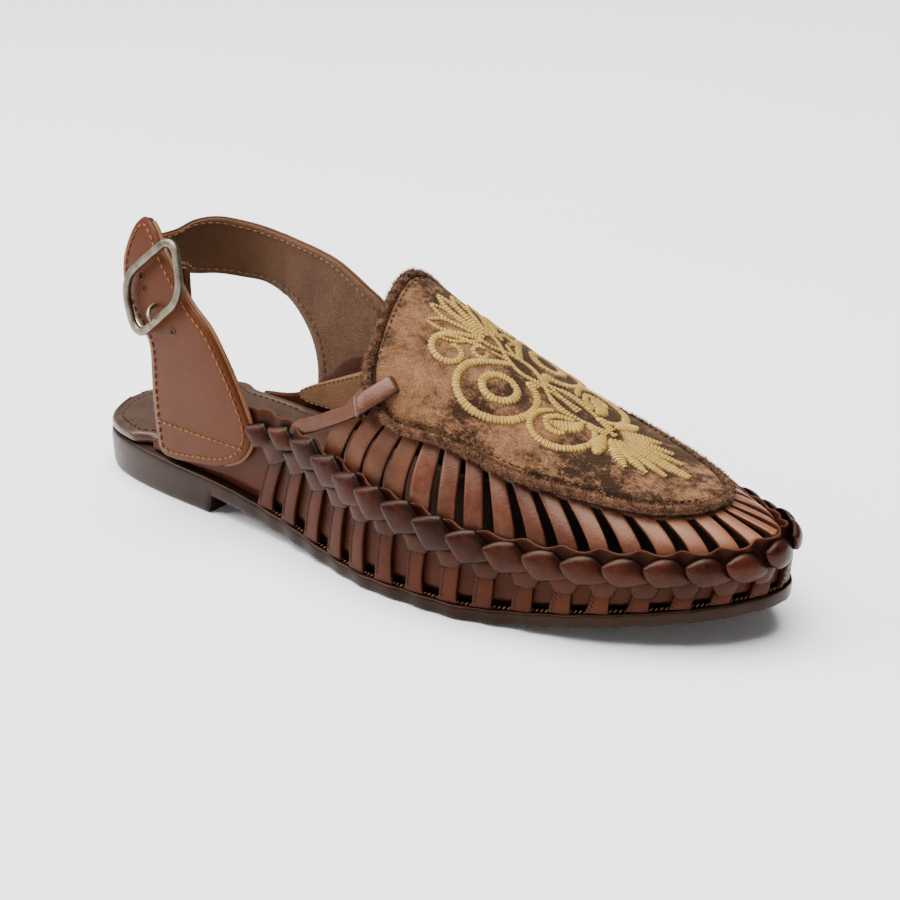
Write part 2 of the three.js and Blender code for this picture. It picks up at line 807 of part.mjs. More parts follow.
// Outer face of the lateral buckle strap: it lies on the band, then leans in over the heel
function strapPoint(x, z, lift = 0) {
  const face = (px, pz) => {
    const foot = halfWidth(-1, px / sole_length) - band_inset + clearance + strap_thickness;
    return -foot + Math.max(pz - strap_lean_from, 0) ** 2 / (2 * strap_lean_radius);
  };
  const step = 0.5;
  const slope_x = (face(x + step, z) - face(x - step, z)) / (2 * step);
  const slope_z = (face(x, z + step) - face(x, z - step)) / (2 * step);
  const out = new THREE.Vector3(slope_x, -1, slope_z).normalize();
  return new THREE.Vector3(x, face(x, z), z).addScaledVector(out, lift);
}

// Buckle place: along the frame, across it, and above the strap's face
function bucklePoint(along, across, lift) {
  const x = frame_x + along * Math.cos(frame_turn) - across * Math.sin(frame_turn);
  const z = frame_z + along * Math.sin(frame_turn) + across * Math.cos(frame_turn);
  return strapPoint(x, z, lift);
}

// A round wire along a list of points, on a smooth line
function wire(points, radius, steps, sides = 6) {
  const line = new THREE.CatmullRomCurve3(points, false, 'centripetal');
  const frames = line.computeFrenetFrames(steps, false);
  const rings = [];
  for (let i = 0; i <= steps; i += 1) {
    const middle = line.getPointAt(i / steps);
    const ring = [];
    for (let n = 0; n < sides; n += 1) {
      const turn = (n / sides) * 2 * Math.PI;
      const point = middle.clone().addScaledVector(frames.normals[i], radius * Math.cos(turn));
      ring.push(point.addScaledVector(frames.binormals[i], radius * Math.sin(turn)));
    }
    rings.push(ring);
  }
  return skin(rings);
}

function makeBuckleStrap() {
  const rear = buckle_strap.map((row) => new THREE.Vector3(
    strap_foot_at + row.rear * strap_width, 0, row.rear_up * strap_height));
  const front = buckle_strap.map((row) => new THREE.Vector3(
    strap_foot_at + row.front * strap_width, 0, row.front_up * strap_height));
  const rear_line = new THREE.CatmullRomCurve3(rear, false, 'centripetal');
  const front_line = new THREE.CatmullRomCurve3(front, false, 'centripetal');
  const rows = 22;
  const across = 4;
  const points = [];
  for (let i = 0; i <= rows; i += 1) {
    const a = rear_line.getPoint(i / rows);
    const b = front_line.getPoint(i / rows);
    for (let n = 0; n <= across; n += 1) {
      const plan = a.clone().lerp(b, n / across);
      points.push(strapPoint(plan.x, plan.z));
    }
  }
  const sheet = toSolid(thicken(points, gridFaces(rows + 1, across + 1), strap_thickness));
  const drill = toSolid(wire([
    bucklePoint(prong_off_centre, prong_across, strap_thickness),
    bucklePoint(prong_off_centre, prong_across, -2 * strap_thickness),
  ], prong_hole / 2, 1, 8));
  return toGeometry(sheet.subtract(drill));
}

// Beside the buckle the back strap's inner face lies inside the buckle strap and the frame's bar
const under_bar = strap_thickness + bar_wire + back_strap_thickness + 3 * clearance;
const buckle_half = -strapPoint(frame_x, back_strap_top).y - under_bar;

// The back strap's plan: along the waist, then a round turn behind the heel
function backStrapPoint(run, height, lift) {
  const radius = back_strap_half;
  const middle_x = back_strap_heel + radius;
  const quarter = (radius * Math.PI) / 2;
  const plan = (s) => {
    if (s > quarter) {
      const x = middle_x + s - quarter;
      return new THREE.Vector2(x, halfWidth(1, x / sole_length) - band_inset + clearance);
    }
    if (s < -quarter) return new THREE.Vector2(middle_x - s - quarter, -buckle_half);
    const turn = s / radius;
    const reach = s < 0 ? buckle_half : radius;
    return new THREE.Vector2(middle_x - radius * Math.cos(turn), reach * Math.sin(turn));
  };
  const place = plan(run);
  const along = plan(run + 0.5).sub(plan(run - 0.5)).normalize();
  return new THREE.Vector3(place.x - along.y * lift, place.y + along.x * lift, height);
}

function makeBackStrap() {
  const low = back_strap.map((row) => new THREE.Vector3(
    row.low_run * back_strap_run, row.low_up * back_strap_top, 0));
  const top = back_strap.map((row) => new THREE.Vector3(
    row.top_run * back_strap_run, row.top_up * back_strap_top, 0));
  const low_line = new THREE.CatmullRomCurve3(low, false, 'centripetal');
  const top_line = new THREE.CatmullRomCurve3(top, false, 'centripetal');
  const rows = 30;
  const across = 3;
  const points = [];
  for (let i = 0; i <= rows; i += 1) {
    const a = low_line.getPoint(i / rows);
    const b = top_line.getPoint(i / rows);
    for (let n = 0; n <= across; n += 1) {
      const flat = a.clone().lerp(b, n / across);
      points.push(backStrapPoint(flat.x, flat.y, back_strap_thickness));
    }
  }
  return thicken(points, gridFaces(rows + 1, across + 1).map((face) => face.reverse()), back_strap_thickness);
}

// The strap's lining ends in a tab sewn inside the band
function makeLiningTab() {
  const rows = 6;
  const across = 4;
  const points = [];
  for (let i = 0; i <= rows; i += 1) {
    const x = THREE.MathUtils.lerp(lining_tab_from, lining_tab_to, i / rows);
    const run = runAtX(1, x);
    const place = edgePoint(run, band_inset + band_wall + clearance);
    const top = rimHeight(x) - lining_tab_below;
    const low = soleTop(x / sole_length) + clearance + footbed_thickness + lining_tab_above;
    for (let n = 0; n <= across; n += 1) {
      points.push(new THREE.Vector3(place.x, place.y, THREE.MathUtils.lerp(low, top, n / across)));
    }
  }
  return thicken(points, gridFaces(rows + 1, across + 1), lining_thickness);
}

// A narrow strap from inside the band, over the rolled edge, to its slit in the panel
function makeThroatStrap(side) {
  const top_lift = 2 * panel_gap + roll_diameter + throat_strap_thickness;
  const places = throat_strap.map(({ at, reach, rise, over }) => {
    const x = at * sole_length;
    const y = side * reach * roomWidth(side, x);
    if (over > 0) return vampPoint(x, y, over * top_lift);
    return new THREE.Vector3(x, y, rise * instep_height);
  });
  const facings = throat_strap.map(({ over }, i) => {
    const { x, y } = places[i];
    if (over > 0) return vampPoint(x, y, 1).sub(vampPoint(x, y));
    return new THREE.Vector3(0, side, 0.15).normalize();
  });
  const line = new THREE.CatmullRomCurve3(places);
  const facing = new THREE.CatmullRomCurve3(facings);
  const rows = 14;
  const points = [];
  for (let i = 0; i <= rows; i += 1) {
    const middle = line.getPoint(i / rows);
    const along = line.getTangent(i / rows);
    const width = new THREE.Vector3().crossVectors(along, facing.getPoint(i / rows)).normalize();
    for (const share of [-0.5, 0, 0.5]) {
      points.push(middle.clone().addScaledVector(width, share * throat_strap_width));
    }
  }
  return thicken(points, gridFaces(rows + 1, 3), throat_strap_thickness);
}

// A rounded frame with a bar that dips behind the strap, bent to the strap's own curve
function makeBuckleFrame() {
  const half_long = (frame_length - frame_wire) / 2;
  const half_short = (frame_width - frame_wire) / 2;
  const corner = new THREE.Shape();
  const radius = frame_corner - frame_wire / 2;
  corner.moveTo(half_long, 0);
  corner.lineTo(half_long, half_short - radius);
  corner.absarc(half_long - radius, half_short - radius, radius, 0, Math.PI / 2, false);
  corner.lineTo(-half_long + radius, half_short);
  corner.absarc(-half_long + radius, half_short - radius, radius, Math.PI / 2, Math.PI, false);
  corner.lineTo(-half_long, -half_short + radius);
  corner.absarc(-half_long + radius, -half_short + radius, radius, Math.PI, 1.5 * Math.PI, false);
  corner.lineTo(half_long - radius, -half_short);
  corner.absarc(half_long - radius, -half_short + radius, radius, 1.5 * Math.PI, 2 * Math.PI, false);
  const steps = 32;
  const sides = 6;
  const lift = clearance * 3 + frame_wire / 2;
  const outline_points = corner.getSpacedPoints(steps).slice(0, steps);
  const rings = outline_points.map((place, i) => {
    const next = outline_points[(i + 1) % steps];
    const last = outline_points[(i + steps - 1) % steps];
    const along = next.clone().sub(last).normalize();
    const ring = [];
    for (let n = 0; n < sides; n += 1) {
      const turn = (n / sides) * 2 * Math.PI;
      const out = (Math.cos(turn) * frame_wire) / 2;
      const rise = (Math.sin(turn) * frame_wire) / 2;
      ring.push(bucklePoint(place.x + along.y * out, place.y - along.x * out, lift + rise));
    }
    return ring;
  });
  const dip = -strap_thickness - clearance - bar_wire / 2;
  const bar = wire([
    bucklePoint(-half_long, 0, lift),
    bucklePoint(-half_long, 0, dip * 0.5),
    bucklePoint(-half_long + 0.2, 0, dip),
    bucklePoint(0, 0, dip),
    bucklePoint(half_long - 0.2, 0, dip),
    bucklePoint(half_long, 0, dip * 0.5),
    bucklePoint(half_long, 0, lift),
  ], bar_wire / 2, 14);
  return toGeometry(toSolid(skin(rings, true)).add(toSolid(bar)));
}

// The prong leaves the bar, comes up through the strap's hole and rests on the frame
function makeProng() {
  const u = prong_off_centre;
  const side = frame_width / 2;
  const over = clearance * 4 + frame_wire + prong_wire / 2;
  const dip = -strap_thickness - clearance - bar_wire / 2;
  return wire([
    bucklePoint(u, prong_across, dip),
    bucklePoint(u, prong_across, -strap_thickness * 0.4),
    bucklePoint(u, prong_across - 0.3, prong_wire * 0.6),
    bucklePoint(u, prong_across - 1.6, over * 0.7),
    bucklePoint(u, -side + frame_wire, over),
    bucklePoint(u, -side + frame_wire * 0.3, over),
  ], prong_wire / 2, 10);
}

addPiece('outsole', makeOutsole(), 0x3f322d, 0.6);
addPiece('footbed', makeFootbed(), 0x463a33, 0.45);
addPiece('side_band', makeSideBand(), 0x7f513b, 0.5);
addPiece('braid', makeBraid(), 0x55302a, 0.38);
addPiece('vamp', makeVamp(), 0x74432f, 0.45);
addPiece('vamp_panel', makePanel(), 0x6d4a33, 0.9);
addPiece('panel_roll', makeRoll(), 0x5b4030, 0.95);
addPiece('throat_strap_lateral', makeThroatStrap(-1), 0x7a4a33, 0.45);
addPiece('throat_strap_medial', makeThroatStrap(1), 0x7a4a33, 0.45);
addPiece('buckle_strap', makeBuckleStrap(), 0x8d5a3d, 0.5);
addPiece('back_strap', makeBackStrap(), 0x8a5f47, 0.6);
addPiece('lining_tab', makeLiningTab(), 0x9a7350, 0.7);
addPiece('buckle_frame', makeBuckleFrame(), 0x77705f, 0.35, 0.9);
addPiece('buckle_prong', makeProng(), 0x8a8371, 0.3, 0.9);

// The object's box is centred over the origin
const box = new THREE.Box3().setFromObject(group);
group.position.set(-(box.min.x + box.max.x) / 2, -(box.min.y + box.max.y) / 2, -box.min.z);

export default group;
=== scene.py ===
# %% [markdown]
# # A right-foot slingback sandal
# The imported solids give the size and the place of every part. This script dresses them: it lays
# denser leather, velvet, thread and metal over the same curves, in the same frame, and shows the
# shoe from the photograph's angle. Loading the frame comes first, because every piece is fitted to it.

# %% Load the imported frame
import math
import bpy
import bmesh
import numpy as np
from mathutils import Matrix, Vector


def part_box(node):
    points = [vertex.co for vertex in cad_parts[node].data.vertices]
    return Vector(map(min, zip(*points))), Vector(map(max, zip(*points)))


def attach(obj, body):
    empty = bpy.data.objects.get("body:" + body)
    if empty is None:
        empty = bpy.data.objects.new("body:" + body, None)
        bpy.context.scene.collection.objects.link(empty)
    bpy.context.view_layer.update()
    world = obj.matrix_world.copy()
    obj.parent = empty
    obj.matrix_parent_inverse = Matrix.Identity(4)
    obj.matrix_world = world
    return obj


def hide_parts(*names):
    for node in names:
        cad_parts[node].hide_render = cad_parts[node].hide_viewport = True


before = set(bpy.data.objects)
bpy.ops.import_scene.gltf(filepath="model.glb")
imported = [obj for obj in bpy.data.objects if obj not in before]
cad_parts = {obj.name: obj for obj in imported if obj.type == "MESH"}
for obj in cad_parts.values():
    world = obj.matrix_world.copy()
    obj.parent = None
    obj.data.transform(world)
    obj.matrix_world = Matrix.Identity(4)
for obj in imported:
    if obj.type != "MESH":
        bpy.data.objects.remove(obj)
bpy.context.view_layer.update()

# %% [markdown]
# ## The shoe's own shape
# A sandal is made over a last, so one outline and a few heights decide the shape of all its parts.
# They could be drawn as curves by hand. Here they are short tables of shares of named sizes, in mm,
# because the solids come from the same tables and every piece then fits them.

# %% Named sizes and tables, in mm
LENGTH, BALL_OUTER, BALL_INNER = 262.0, 49.5, 42.5
HEEL_LIFT, TOE_SPRING, SLAB = 6.6, 11.1, 4.5
HEEL_SEAT = 68.8
BAND_HEIGHT, BAND_WALL, BAND_INSET = 34.6, 2.0, 2.4
INSTEP, VAMP_WALL, VAMP_BELOW_RIM = 84.0, 1.6, 2.0
PANEL_LIFT = 2.9
CLEAR = 0.3
BRAID_START, BRAID_SPARE = 91.8, 0.35
STRIPS_OUTER, STRIPS_INNER = 16, 15
VAMP_PITCH, VAMP_STRIPS = 9.75, 16
ROOM = BAND_INSET + BAND_WALL + CLEAR

# share of length, outer half width, inner half width
OUTLINE = [
    (0, 0, 0), (0.012, 0.245, 0.308), (0.04, 0.453, 0.518), (0.09, 0.59, 0.727),
    (0.16, 0.669, 0.755), (0.25, 0.721, 0.729), (0.36, 0.766, 0.659), (0.48, 0.895, 0.706),
    (0.58, 1, 0.871), (0.66, 0.998, 0.976), (0.74, 0.911, 1), (0.82, 0.81, 0.906),
    (0.89, 0.64, 0.718), (0.945, 0.45, 0.495), (0.98, 0.262, 0.29), (1, 0, 0)]
# share of length, heel rise, toe rise, thickness
RISE = [
    (0, 0.7, 0, 1.78), (0.1, 0.95, 0, 1.78), (0.25, 1, 0, 1.47), (0.4, 0.39, 0, 1.31),
    (0.53, 0, 0, 1), (0.68, 0, 0, 1.05), (0.85, 0, 0.5, 0.96), (1, 0, 1, 0.96)]
# share of length, height of the side band
BAND = [
    (0.145, 0.1), (0.19, 0.16), (0.225, 0.26), (0.27, 0.52), (0.305, 0.77), (0.34, 0.92),
    (0.4, 1), (0.47, 0.955), (0.55, 0.895), (0.63, 0.785), (0.72, 0.67), (0.8, 0.585),
    (0.9, 0.505), (0.96, 0.468), (1, 0.53)]
# share of length, height of the vamp's ridge
RIDGE = [
    (0.47, 1.045), (0.5, 1), (0.542, 0.92), (0.592, 0.836), (0.66, 0.726), (0.723, 0.633),
    (0.782, 0.562), (0.828, 0.518), (0.863, 0.488), (0.92, 0.45), (0.954, 0.423), (0.985, 0.398)]
# share of length, share of the half width: the edge of the velvet
PANEL = [
    (0.511, 0.775), (0.565, 0.85), (0.628, 0.795), (0.702, 0.77), (0.771, 0.73), (0.836, 0.685),
    (0.876, 0.62), (0.905, 0.46), (0.919, 0.22)]
# strip number from the toe, share of the way along the velvet's edge
FAN = [(0, 0), (1, 0.035), (2, 0.085), (5, 0.30), (7, 0.455), (11, 0.70), (16.5, 1)]
print(f"sole {LENGTH:.0f} mm long, {BALL_OUTER:.1f} mm wide outside and {BALL_INNER:.1f} mm inside")

# %% [markdown]
# ## Curves through the tables
# A maker bends a batten round a few pins, and it never swings past them. An ordinary spline can bulge
# between two rows, so each column gets a curve whose slope is held flat wherever a row is a peak.

# %% Smooth curves
def curve(rows, column, along=None):
    """A smooth curve without overshoot through one column of a table."""
    x = np.array([r[0] for r in rows] if along is None else along, float)
    y = np.array([r[column] for r in rows], float)
    slope = np.diff(y) / np.diff(x)
    lean = np.concatenate([slope[:1], np.zeros(len(x) - 2), slope[-1:]])
    for i in range(1, len(x) - 1):
        if slope[i - 1] * slope[i] > 0:
            lean[i] = 2 * slope[i - 1] * slope[i] / (slope[i - 1] + slope[i])

    def at(value):
        v = np.clip(value, x[0], x[-1])
        i = np.clip(np.searchsorted(x, v, side="right") - 1, 0, len(x) - 2)
        h = x[i + 1] - x[i]
        u = (v - x[i]) / h
        rise = (1 - u) ** 2 * (1 + 2 * u) * y[i] + u * u * (3 - 2 * u) * y[i + 1]
        return rise + h * u * (1 - u) * ((1 - u) * lean[i] - u * lean[i + 1])
    return at


def turn_of(at):
    return np.arccos(1 - 2 * np.clip(at, 0, 1))


def eased(share):
    """A share from 0 to 1 that starts and ends gently."""
    share = np.clip(share, 0, 1)
    return share * share * (3 - 2 * share)


outer_share = curve(OUTLINE, 1, [turn_of(r[0]) for r in OUTLINE])
inner_share = curve(OUTLINE, 2, [turn_of(r[0]) for r in OUTLINE])
heel_share, toe_share, slab_share = (curve(RISE, c) for c in (1, 2, 3))
band_share, ridge_share, fan_share = curve(BAND, 1), curve(RIDGE, 1), curve(FAN, 1)
print("curves through", len(OUTLINE), "rows of outline and", len(BAND), "rows of band height")

# %% [markdown]
# ## The sole's edge
# Strips, braid and stitches all follow the sole's edge, and a maker measures along it with a tape.
# So a walk along the edge gives the place at any run from the toe, moved inwards by an inset. A curve
# object could be walked too, but plain arrays also answer the other way round: which run an x has.

# %% Sole, rim and the walk along the edge
def half_width(side, at):
    turn = turn_of(at)
    return np.where(np.asarray(side) < 0, BALL_OUTER * outer_share(turn), BALL_INNER * inner_share(turn))


def underside(at):
    return HEEL_LIFT * heel_share(at) + TOE_SPRING * toe_share(at)


def sole_top(x):
    return underside(x / LENGTH) + SLAB * slab_share(x / LENGTH)


def rim_height(x):
    return sole_top(x) + BAND_HEIGHT * band_share(x / LENGTH)


EDGE_POINTS = 1601


def edge_walk(side):
    """The sole's edge from the toe back along one side: plan points, runs and inward directions."""
    at = (1 + np.cos(np.linspace(0, np.pi, EDGE_POINTS))) / 2
    p = np.stack([at * LENGTH, side * half_width(side, at)], 1)
    run = np.concatenate([[0], np.cumsum(np.linalg.norm(np.diff(p, axis=0), axis=1))])
    even = np.linspace(0, run[-1], EDGE_POINTS)
    p = np.stack([np.interp(even, run, p[:, 0]), np.interp(even, run, p[:, 1])], 1)
    along = np.gradient(p, axis=0)
    along /= np.linalg.norm(along, axis=1)[:, None]
    inward = np.stack([-along[:, 1] * side, along[:, 0] * side], 1)
    inward[0] = (-1, 0)
    return p, even, inward


WALK = {side: edge_walk(side) for side in (-1, 1)}


def edge_point(run, inset):
    """Plan points at signed runs from the toe (outer side negative), moved in from the edge."""
    run = np.atleast_1d(np.asarray(run, float))
    inset = np.broadcast_to(inset, run.shape)
    out = np.zeros((len(run), 2))
    for side in (-1, 1):
        pick = (run < 0) == (side < 0)
        p, walk, inward = WALK[side]
        for k in (0, 1):
            base = np.interp(np.abs(run[pick]), walk, p[:, k])
            out[pick, k] = base + inset[pick] * np.interp(np.abs(run[pick]), walk, inward[:, k])
    return out


def run_at(side, x):
    p, walk, _ = WALK[side]
    return side * np.interp(-x, -p[:, 0], walk)


STRIP_PITCH = abs(float(run_at(-1, BRAID_START))) / (STRIPS_OUTER + BRAID_SPARE)
print(f"edge {WALK[-1][1][-1]:.0f} mm long outside and {WALK[1][1][-1]:.0f} mm inside")
print(f"braid strips {STRIP_PITCH:.2f} mm apart")

# %% [markdown]
# ## The vamp's surface
# The vamp is leather pulled over the last: low and steep at the band, rounded over the toes, and high
# at the instep. A sculpted mesh would have to be measured again by every piece that lies on it, so
# the surface is a formula, which gives the height and the normal at any place.

# %% The room inside the band and the vamp over it
def room_line(side, inset):
    p, walk, inward = WALK[side]
    q = p + inset * inward
    keep = (q[:, 1] * side > 0) & (walk > 0)
    return q[keep]


ROOM_LINE = {side: room_line(side, ROOM) for side in (-1, 1)}


def room_width(y, x):
    """Half width of the room inside the side band, on the side of y."""
    sides = {s: np.interp(-np.asarray(x, float), -q[:, 0], np.abs(q[:, 1]), left=0.0)
             for s, q in ROOM_LINE.items()}
    return np.where(np.asarray(y) < 0, sides[-1], sides[1])


def vamp_height(x, y):
    base = rim_height(x) - VAMP_BELOW_RIM
    crown = np.maximum(INSTEP * ridge_share(x / LENGTH) - PANEL_LIFT, base + VAMP_WALL)
    share = np.minimum(np.abs(y) / np.maximum(room_width(y, x), 0.5), 1)
    return base + (crown - base) * (1 - share ** 2) ** (1 / 1.6)


def vamp_point(x, y, lift=0.0):
    """Points on the vamp over plan points, moved off it along its normal."""
    x, y = np.broadcast_arrays(np.asarray(x, float), np.asarray(y, float))
    z = vamp_height(x, y)
    step = 0.3
    sx = (vamp_height(x + step, y) - vamp_height(x - step, y)) / (2 * step)
    sy = (vamp_height(x, y + step) - vamp_height(x, y - step)) / (2 * step)
    n = np.stack([-sx, -sy, np.ones_like(z)], -1)
    n /= np.linalg.norm(n, axis=-1, keepdims=True)
    return np.stack([x, y, z], -1) + n * np.asarray(lift, float)[..., None], n


print(f"vamp {float(vamp_height(0.5 * LENGTH, 0.0)):.1f} mm high at the middle of its throat")

# %% [markdown]
# ## Smooth lines
# Straps, seams and the velvet's outline run through a few chosen points without a kink. This helper
# draws an even line through them and keeps close to them where they are close together.

# %% Smooth lines and the velvet's outline
def smooth_line(points, count, closed=False):
    """Evenly spaced points on a smooth line through the given ones."""
    p = np.asarray(points, float)
    if closed:
        p = np.concatenate([p[-1:], p, p[:2]])
    else:
        p = np.concatenate([2 * p[:1] - p[1:2], p, 2 * p[-1:] - p[-2:-1]])
    t = np.concatenate([[0], np.cumsum(np.linalg.norm(np.diff(p, axis=0), axis=1) ** 0.5)])
    fine = []
    for i in range(1, len(p) - 2):
        u = np.linspace(t[i], t[i + 1], 24, endpoint=False)[:, None]
        a = [p[i - 1 + k] * (t[i + k] - u) / (t[i + k] - t[i - 1 + k])
             + p[i + k] * (u - t[i - 1 + k]) / (t[i + k] - t[i - 1 + k]) for k in range(3)]
        b = [a[k] * (t[i + 1 + k] - u) / (t[i + 1 + k] - t[i - 1 + k])
             + a[k + 1] * (u - t[i - 1 + k]) / (t[i + 1 + k] - t[i - 1 + k]) for k in range(2)]
        fine.append(b[0] * (t[i + 1] - u) / (t[i + 1] - t[i]) + b[1] * (u - t[i]) / (t[i + 1] - t[i]))
    fine = np.concatenate(fine + [p[-2:-1]])
    run = np.concatenate([[0], np.cumsum(np.linalg.norm(np.diff(fine, axis=0), axis=1))])
    even = np.linspace(0, run[-1], count, endpoint=not closed)
    return np.stack([np.interp(even, run, fine[:, k]) for k in range(p.shape[1])], 1)


PANEL_POINTS, PANEL_TIP = 600, 0.9225


def panel_side(side):
    at = np.array([r[0] for r in PANEL]) * LENGTH
    y = side * np.array([r[1] for r in PANEL]) * room_width(side, at)
    line = np.concatenate([[(PANEL_TIP * LENGTH, 0)], np.stack([at, y], 1)[::-1]])
    return smooth_line(line, PANEL_POINTS)


PANEL_SIDE = {side: panel_side(side) for side in (-1, 1)}


def panel_at(side, share):
    """The velvet's edge in plan, from its tip (0) to its corner at the throat (1)."""
    where = np.asarray(share) * (PANEL_POINTS - 1)
    return np.stack([np.interp(where, np.arange(PANEL_POINTS), PANEL_SIDE[side][:, k]) for k in (0, 1)], -1)


print("velvet's corners at", panel_at(-1, 1.0).round(1), "and", panel_at(1, 1.0).round(1))

# %% [markdown]
# ## Putting points into meshes
# A piece is gathered as nets of points in mm, measured from the heel's back like the tables above.
# Modifiers on simple meshes could thicken and round them. Nets were chosen, because each point can
# then carry values that the materials read: how far along and across a strap it lies, a tone of its
# own, which some pieces use for painted light, and how much shade is painted on its place.

# %% Nets
MM = 0.001
TIP_CUT = 0.04  # the solid sole ends this much short of its curve
sole_low, sole_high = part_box("outsole")
SHIFT = np.array([sole_high.x / MM - LENGTH + TIP_CUT,
                  (sole_low.y + sole_high.y) / MM / 2 + (BALL_OUTER - BALL_INNER) / 2, 0.0])
VALUES = ("along", "across", "tone", "dark")
rng = np.random.default_rng(12)


class Shape:
    """Points, faces and values of one piece, in mm."""

    def __init__(self):
        self.points, self.faces, self.values, self.count = [], [], [], 0

    def grid(self, p, wrap=False, ends=False, **values):
        """A net of rows and columns; wrap joins its last column to its first, ends closes it."""
        rows, cols = p.shape[:2]
        index = np.arange(rows * cols).reshape(rows, cols) + self.count
        a = np.concatenate([index, index[:, :1]], 1) if wrap else index
        quads = np.stack([a[:-1, :-1], a[:-1, 1:], a[1:, 1:], a[1:, :-1]], -1)
        self.faces += quads.reshape(-1, 4).tolist()
        if ends:
            self.faces += [index[0][::-1].tolist(), index[-1].tolist()]
        held = np.stack([np.broadcast_to(values.get(v, 0.0), (rows, cols)) for v in VALUES], -1)
        self.points.append(p.reshape(-1, 3))
        self.values.append(held.reshape(-1, len(VALUES)))
        self.count += rows * cols

    def mesh(self, name):
        mesh = bpy.data.meshes.new(name)
        mesh.from_pydata(((np.concatenate(self.points) + SHIFT) * MM).tolist(), [], self.faces)
        held = np.concatenate(self.values).astype(np.float32)
        for k, value in enumerate(VALUES):
            mesh.attributes.new(value, "FLOAT", "POINT").data.foreach_set("value", held[:, k].copy())
        soft = bmesh.new()
        soft.from_mesh(mesh)
        bmesh.ops.recalc_face_normals(soft, faces=soft.faces)
        soft.to_mesh(mesh)
        soft.free()
        mesh.polygons.foreach_set("use_smooth", [True] * len(mesh.polygons))
        return mesh

    def object(self, name, material, slot, *nodes):
        mesh = self.mesh(name)
        mesh.materials.append(material)
        piece = bpy.data.objects.new(name, mesh)
        bpy.context.scene.collection.objects.link(piece)
        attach(piece, "root")
        if nodes:
            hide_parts(*nodes)
        print(f"{name}: {sum(len(f) - 2 for f in self.faces)} triangles")
        return piece


print("the tables' zero lies at", (SHIFT * MM).round(4), "m")

# %% [markdown]
# ## Straps and threads
# A cut strap is flat with softened edges, and a thread is round. Blender's curve bevel can sweep both,
# but it twists at tight turns and can't follow two edges that part. So a strap is laid between its
# two edge lines, and a cord carries its own steady direction along its path.

# %% Straps and cords
def unit(v):
    return v / np.maximum(np.linalg.norm(v, axis=-1, keepdims=True), 1e-9)


def runs(p):
    return np.concatenate([[0], np.cumsum(np.linalg.norm(np.diff(p, axis=0), axis=1))])


def section(around, power):
    """A rounded rectangle's cross-section: squarer with a higher power."""
    turn = (np.arange(around) + 0.5) * 2 * np.pi / around
    c, s = np.cos(turn), np.sin(turn)
    return np.sign(c) * np.abs(c) ** (2 / power), np.sign(s) * np.abs(s) ** (2 / power)


def strap(shape, left, right, normal, thick, crown=0.0, power=5.0, around=20, **values):
    """A strap between two edge lines, its outer face on them, with a soft rounded section."""
    u, v = section(around, power)
    middle, half = (left + right) / 2, (right - left) / 2
    rise = thick * (v[None] / 2 - 0.5) + crown * (1 - u[None] ** 2)
    p = middle[:, None] + half[:, None] * u[None, :, None] + normal[:, None] * rise[..., None]
    shape.grid(p, wrap=True, ends=True, across=u[None], along=runs(middle)[:, None], **values)


def tube(path, side, up, radius, turn):
    """Rings round a path; the radius is one number or fits the rings."""
    round_it = side[:, None] * np.cos(turn)[None, :, None] + up[:, None] * np.sin(turn)[None, :, None]
    return path[:, None] + radius * round_it


def cord(shape, path, radius, around=8):
    """A round thread or wire along a path, its radius a number or one for each point."""
    along = unit(np.gradient(path, axis=0))
    side = np.zeros_like(path)
    ref = unit(np.cross(along[0], (0.3, 0.2, 1.0)))
    for i, ahead in enumerate(along):
        ref = unit(ref - ahead * np.dot(ref, ahead))
        side[i] = ref
    turn = np.arange(around) * 2 * np.pi / around
    radius = np.broadcast_to(radius, len(path))[:, None, None]
    p = tube(path, side, np.cross(along, side), radius, turn)
    shape.grid(p, wrap=True, ends=True, along=runs(path)[:, None])


print("a strap's section has", len(section(20, 5.0)[0]), "points round it")

# %% [markdown]
# ## Sewing and pile by Geometry Nodes
# Stitches repeat along a line, and the velvet's pile repeats over a surface. Copies made by a loop in
# Python would do, but a tree shows its sizes as inputs, and can be changed in Blender afterwards.
# Each tree's result becomes a plain mesh, so that nothing is left as an instance.

# %% Trees written link by link
class Tree:
    """A Geometry Nodes tree with named inputs."""

    def __init__(self, name, **inputs):
        self.tree = bpy.data.node_groups.new(name, "GeometryNodeTree")
        self.tree.interface.new_socket("Geometry", in_out="INPUT", socket_type="NodeSocketGeometry")
        self.tree.interface.new_socket("Geometry", in_out="OUTPUT", socket_type="NodeSocketGeometry")
        for key, kind in inputs.items():
            self.tree.interface.new_socket(key, in_out="INPUT", socket_type="NodeSocket" + kind)
        self.inside = self.tree.nodes.new("NodeGroupInput")

    def add(self, kind, settings=None, inputs=None, out=0):
        n = self.tree.nodes.new(kind)
        for key, value in (settings or {}).items():
            setattr(n, key, value)
        for key, value in (inputs or {}).items():
            if isinstance(value, bpy.types.NodeSocket):
                self.tree.links.new(value, n.inputs[key])
            else:
                n.inputs[key].default_value = value
        return n.outputs[out]

    def given(self, name):
        return self.inside.outputs[name]

    def times(self, a, b):
        return self.add("ShaderNodeMath", {"operation": "MULTIPLY"}, {0: a, 1: b})

    def close(self, geometry):
        plain = self.add("GeometryNodeRealizeInstances", {}, {"Geometry": geometry})
        inputs = {"Geometry": plain, "Material": self.given("Material")}
        done = self.add("GeometryNodeSetMaterial", {}, inputs)
        end = self.tree.nodes.new("NodeGroupOutput")
        self.tree.links.new(done, end.inputs["Geometry"])
        return self.tree


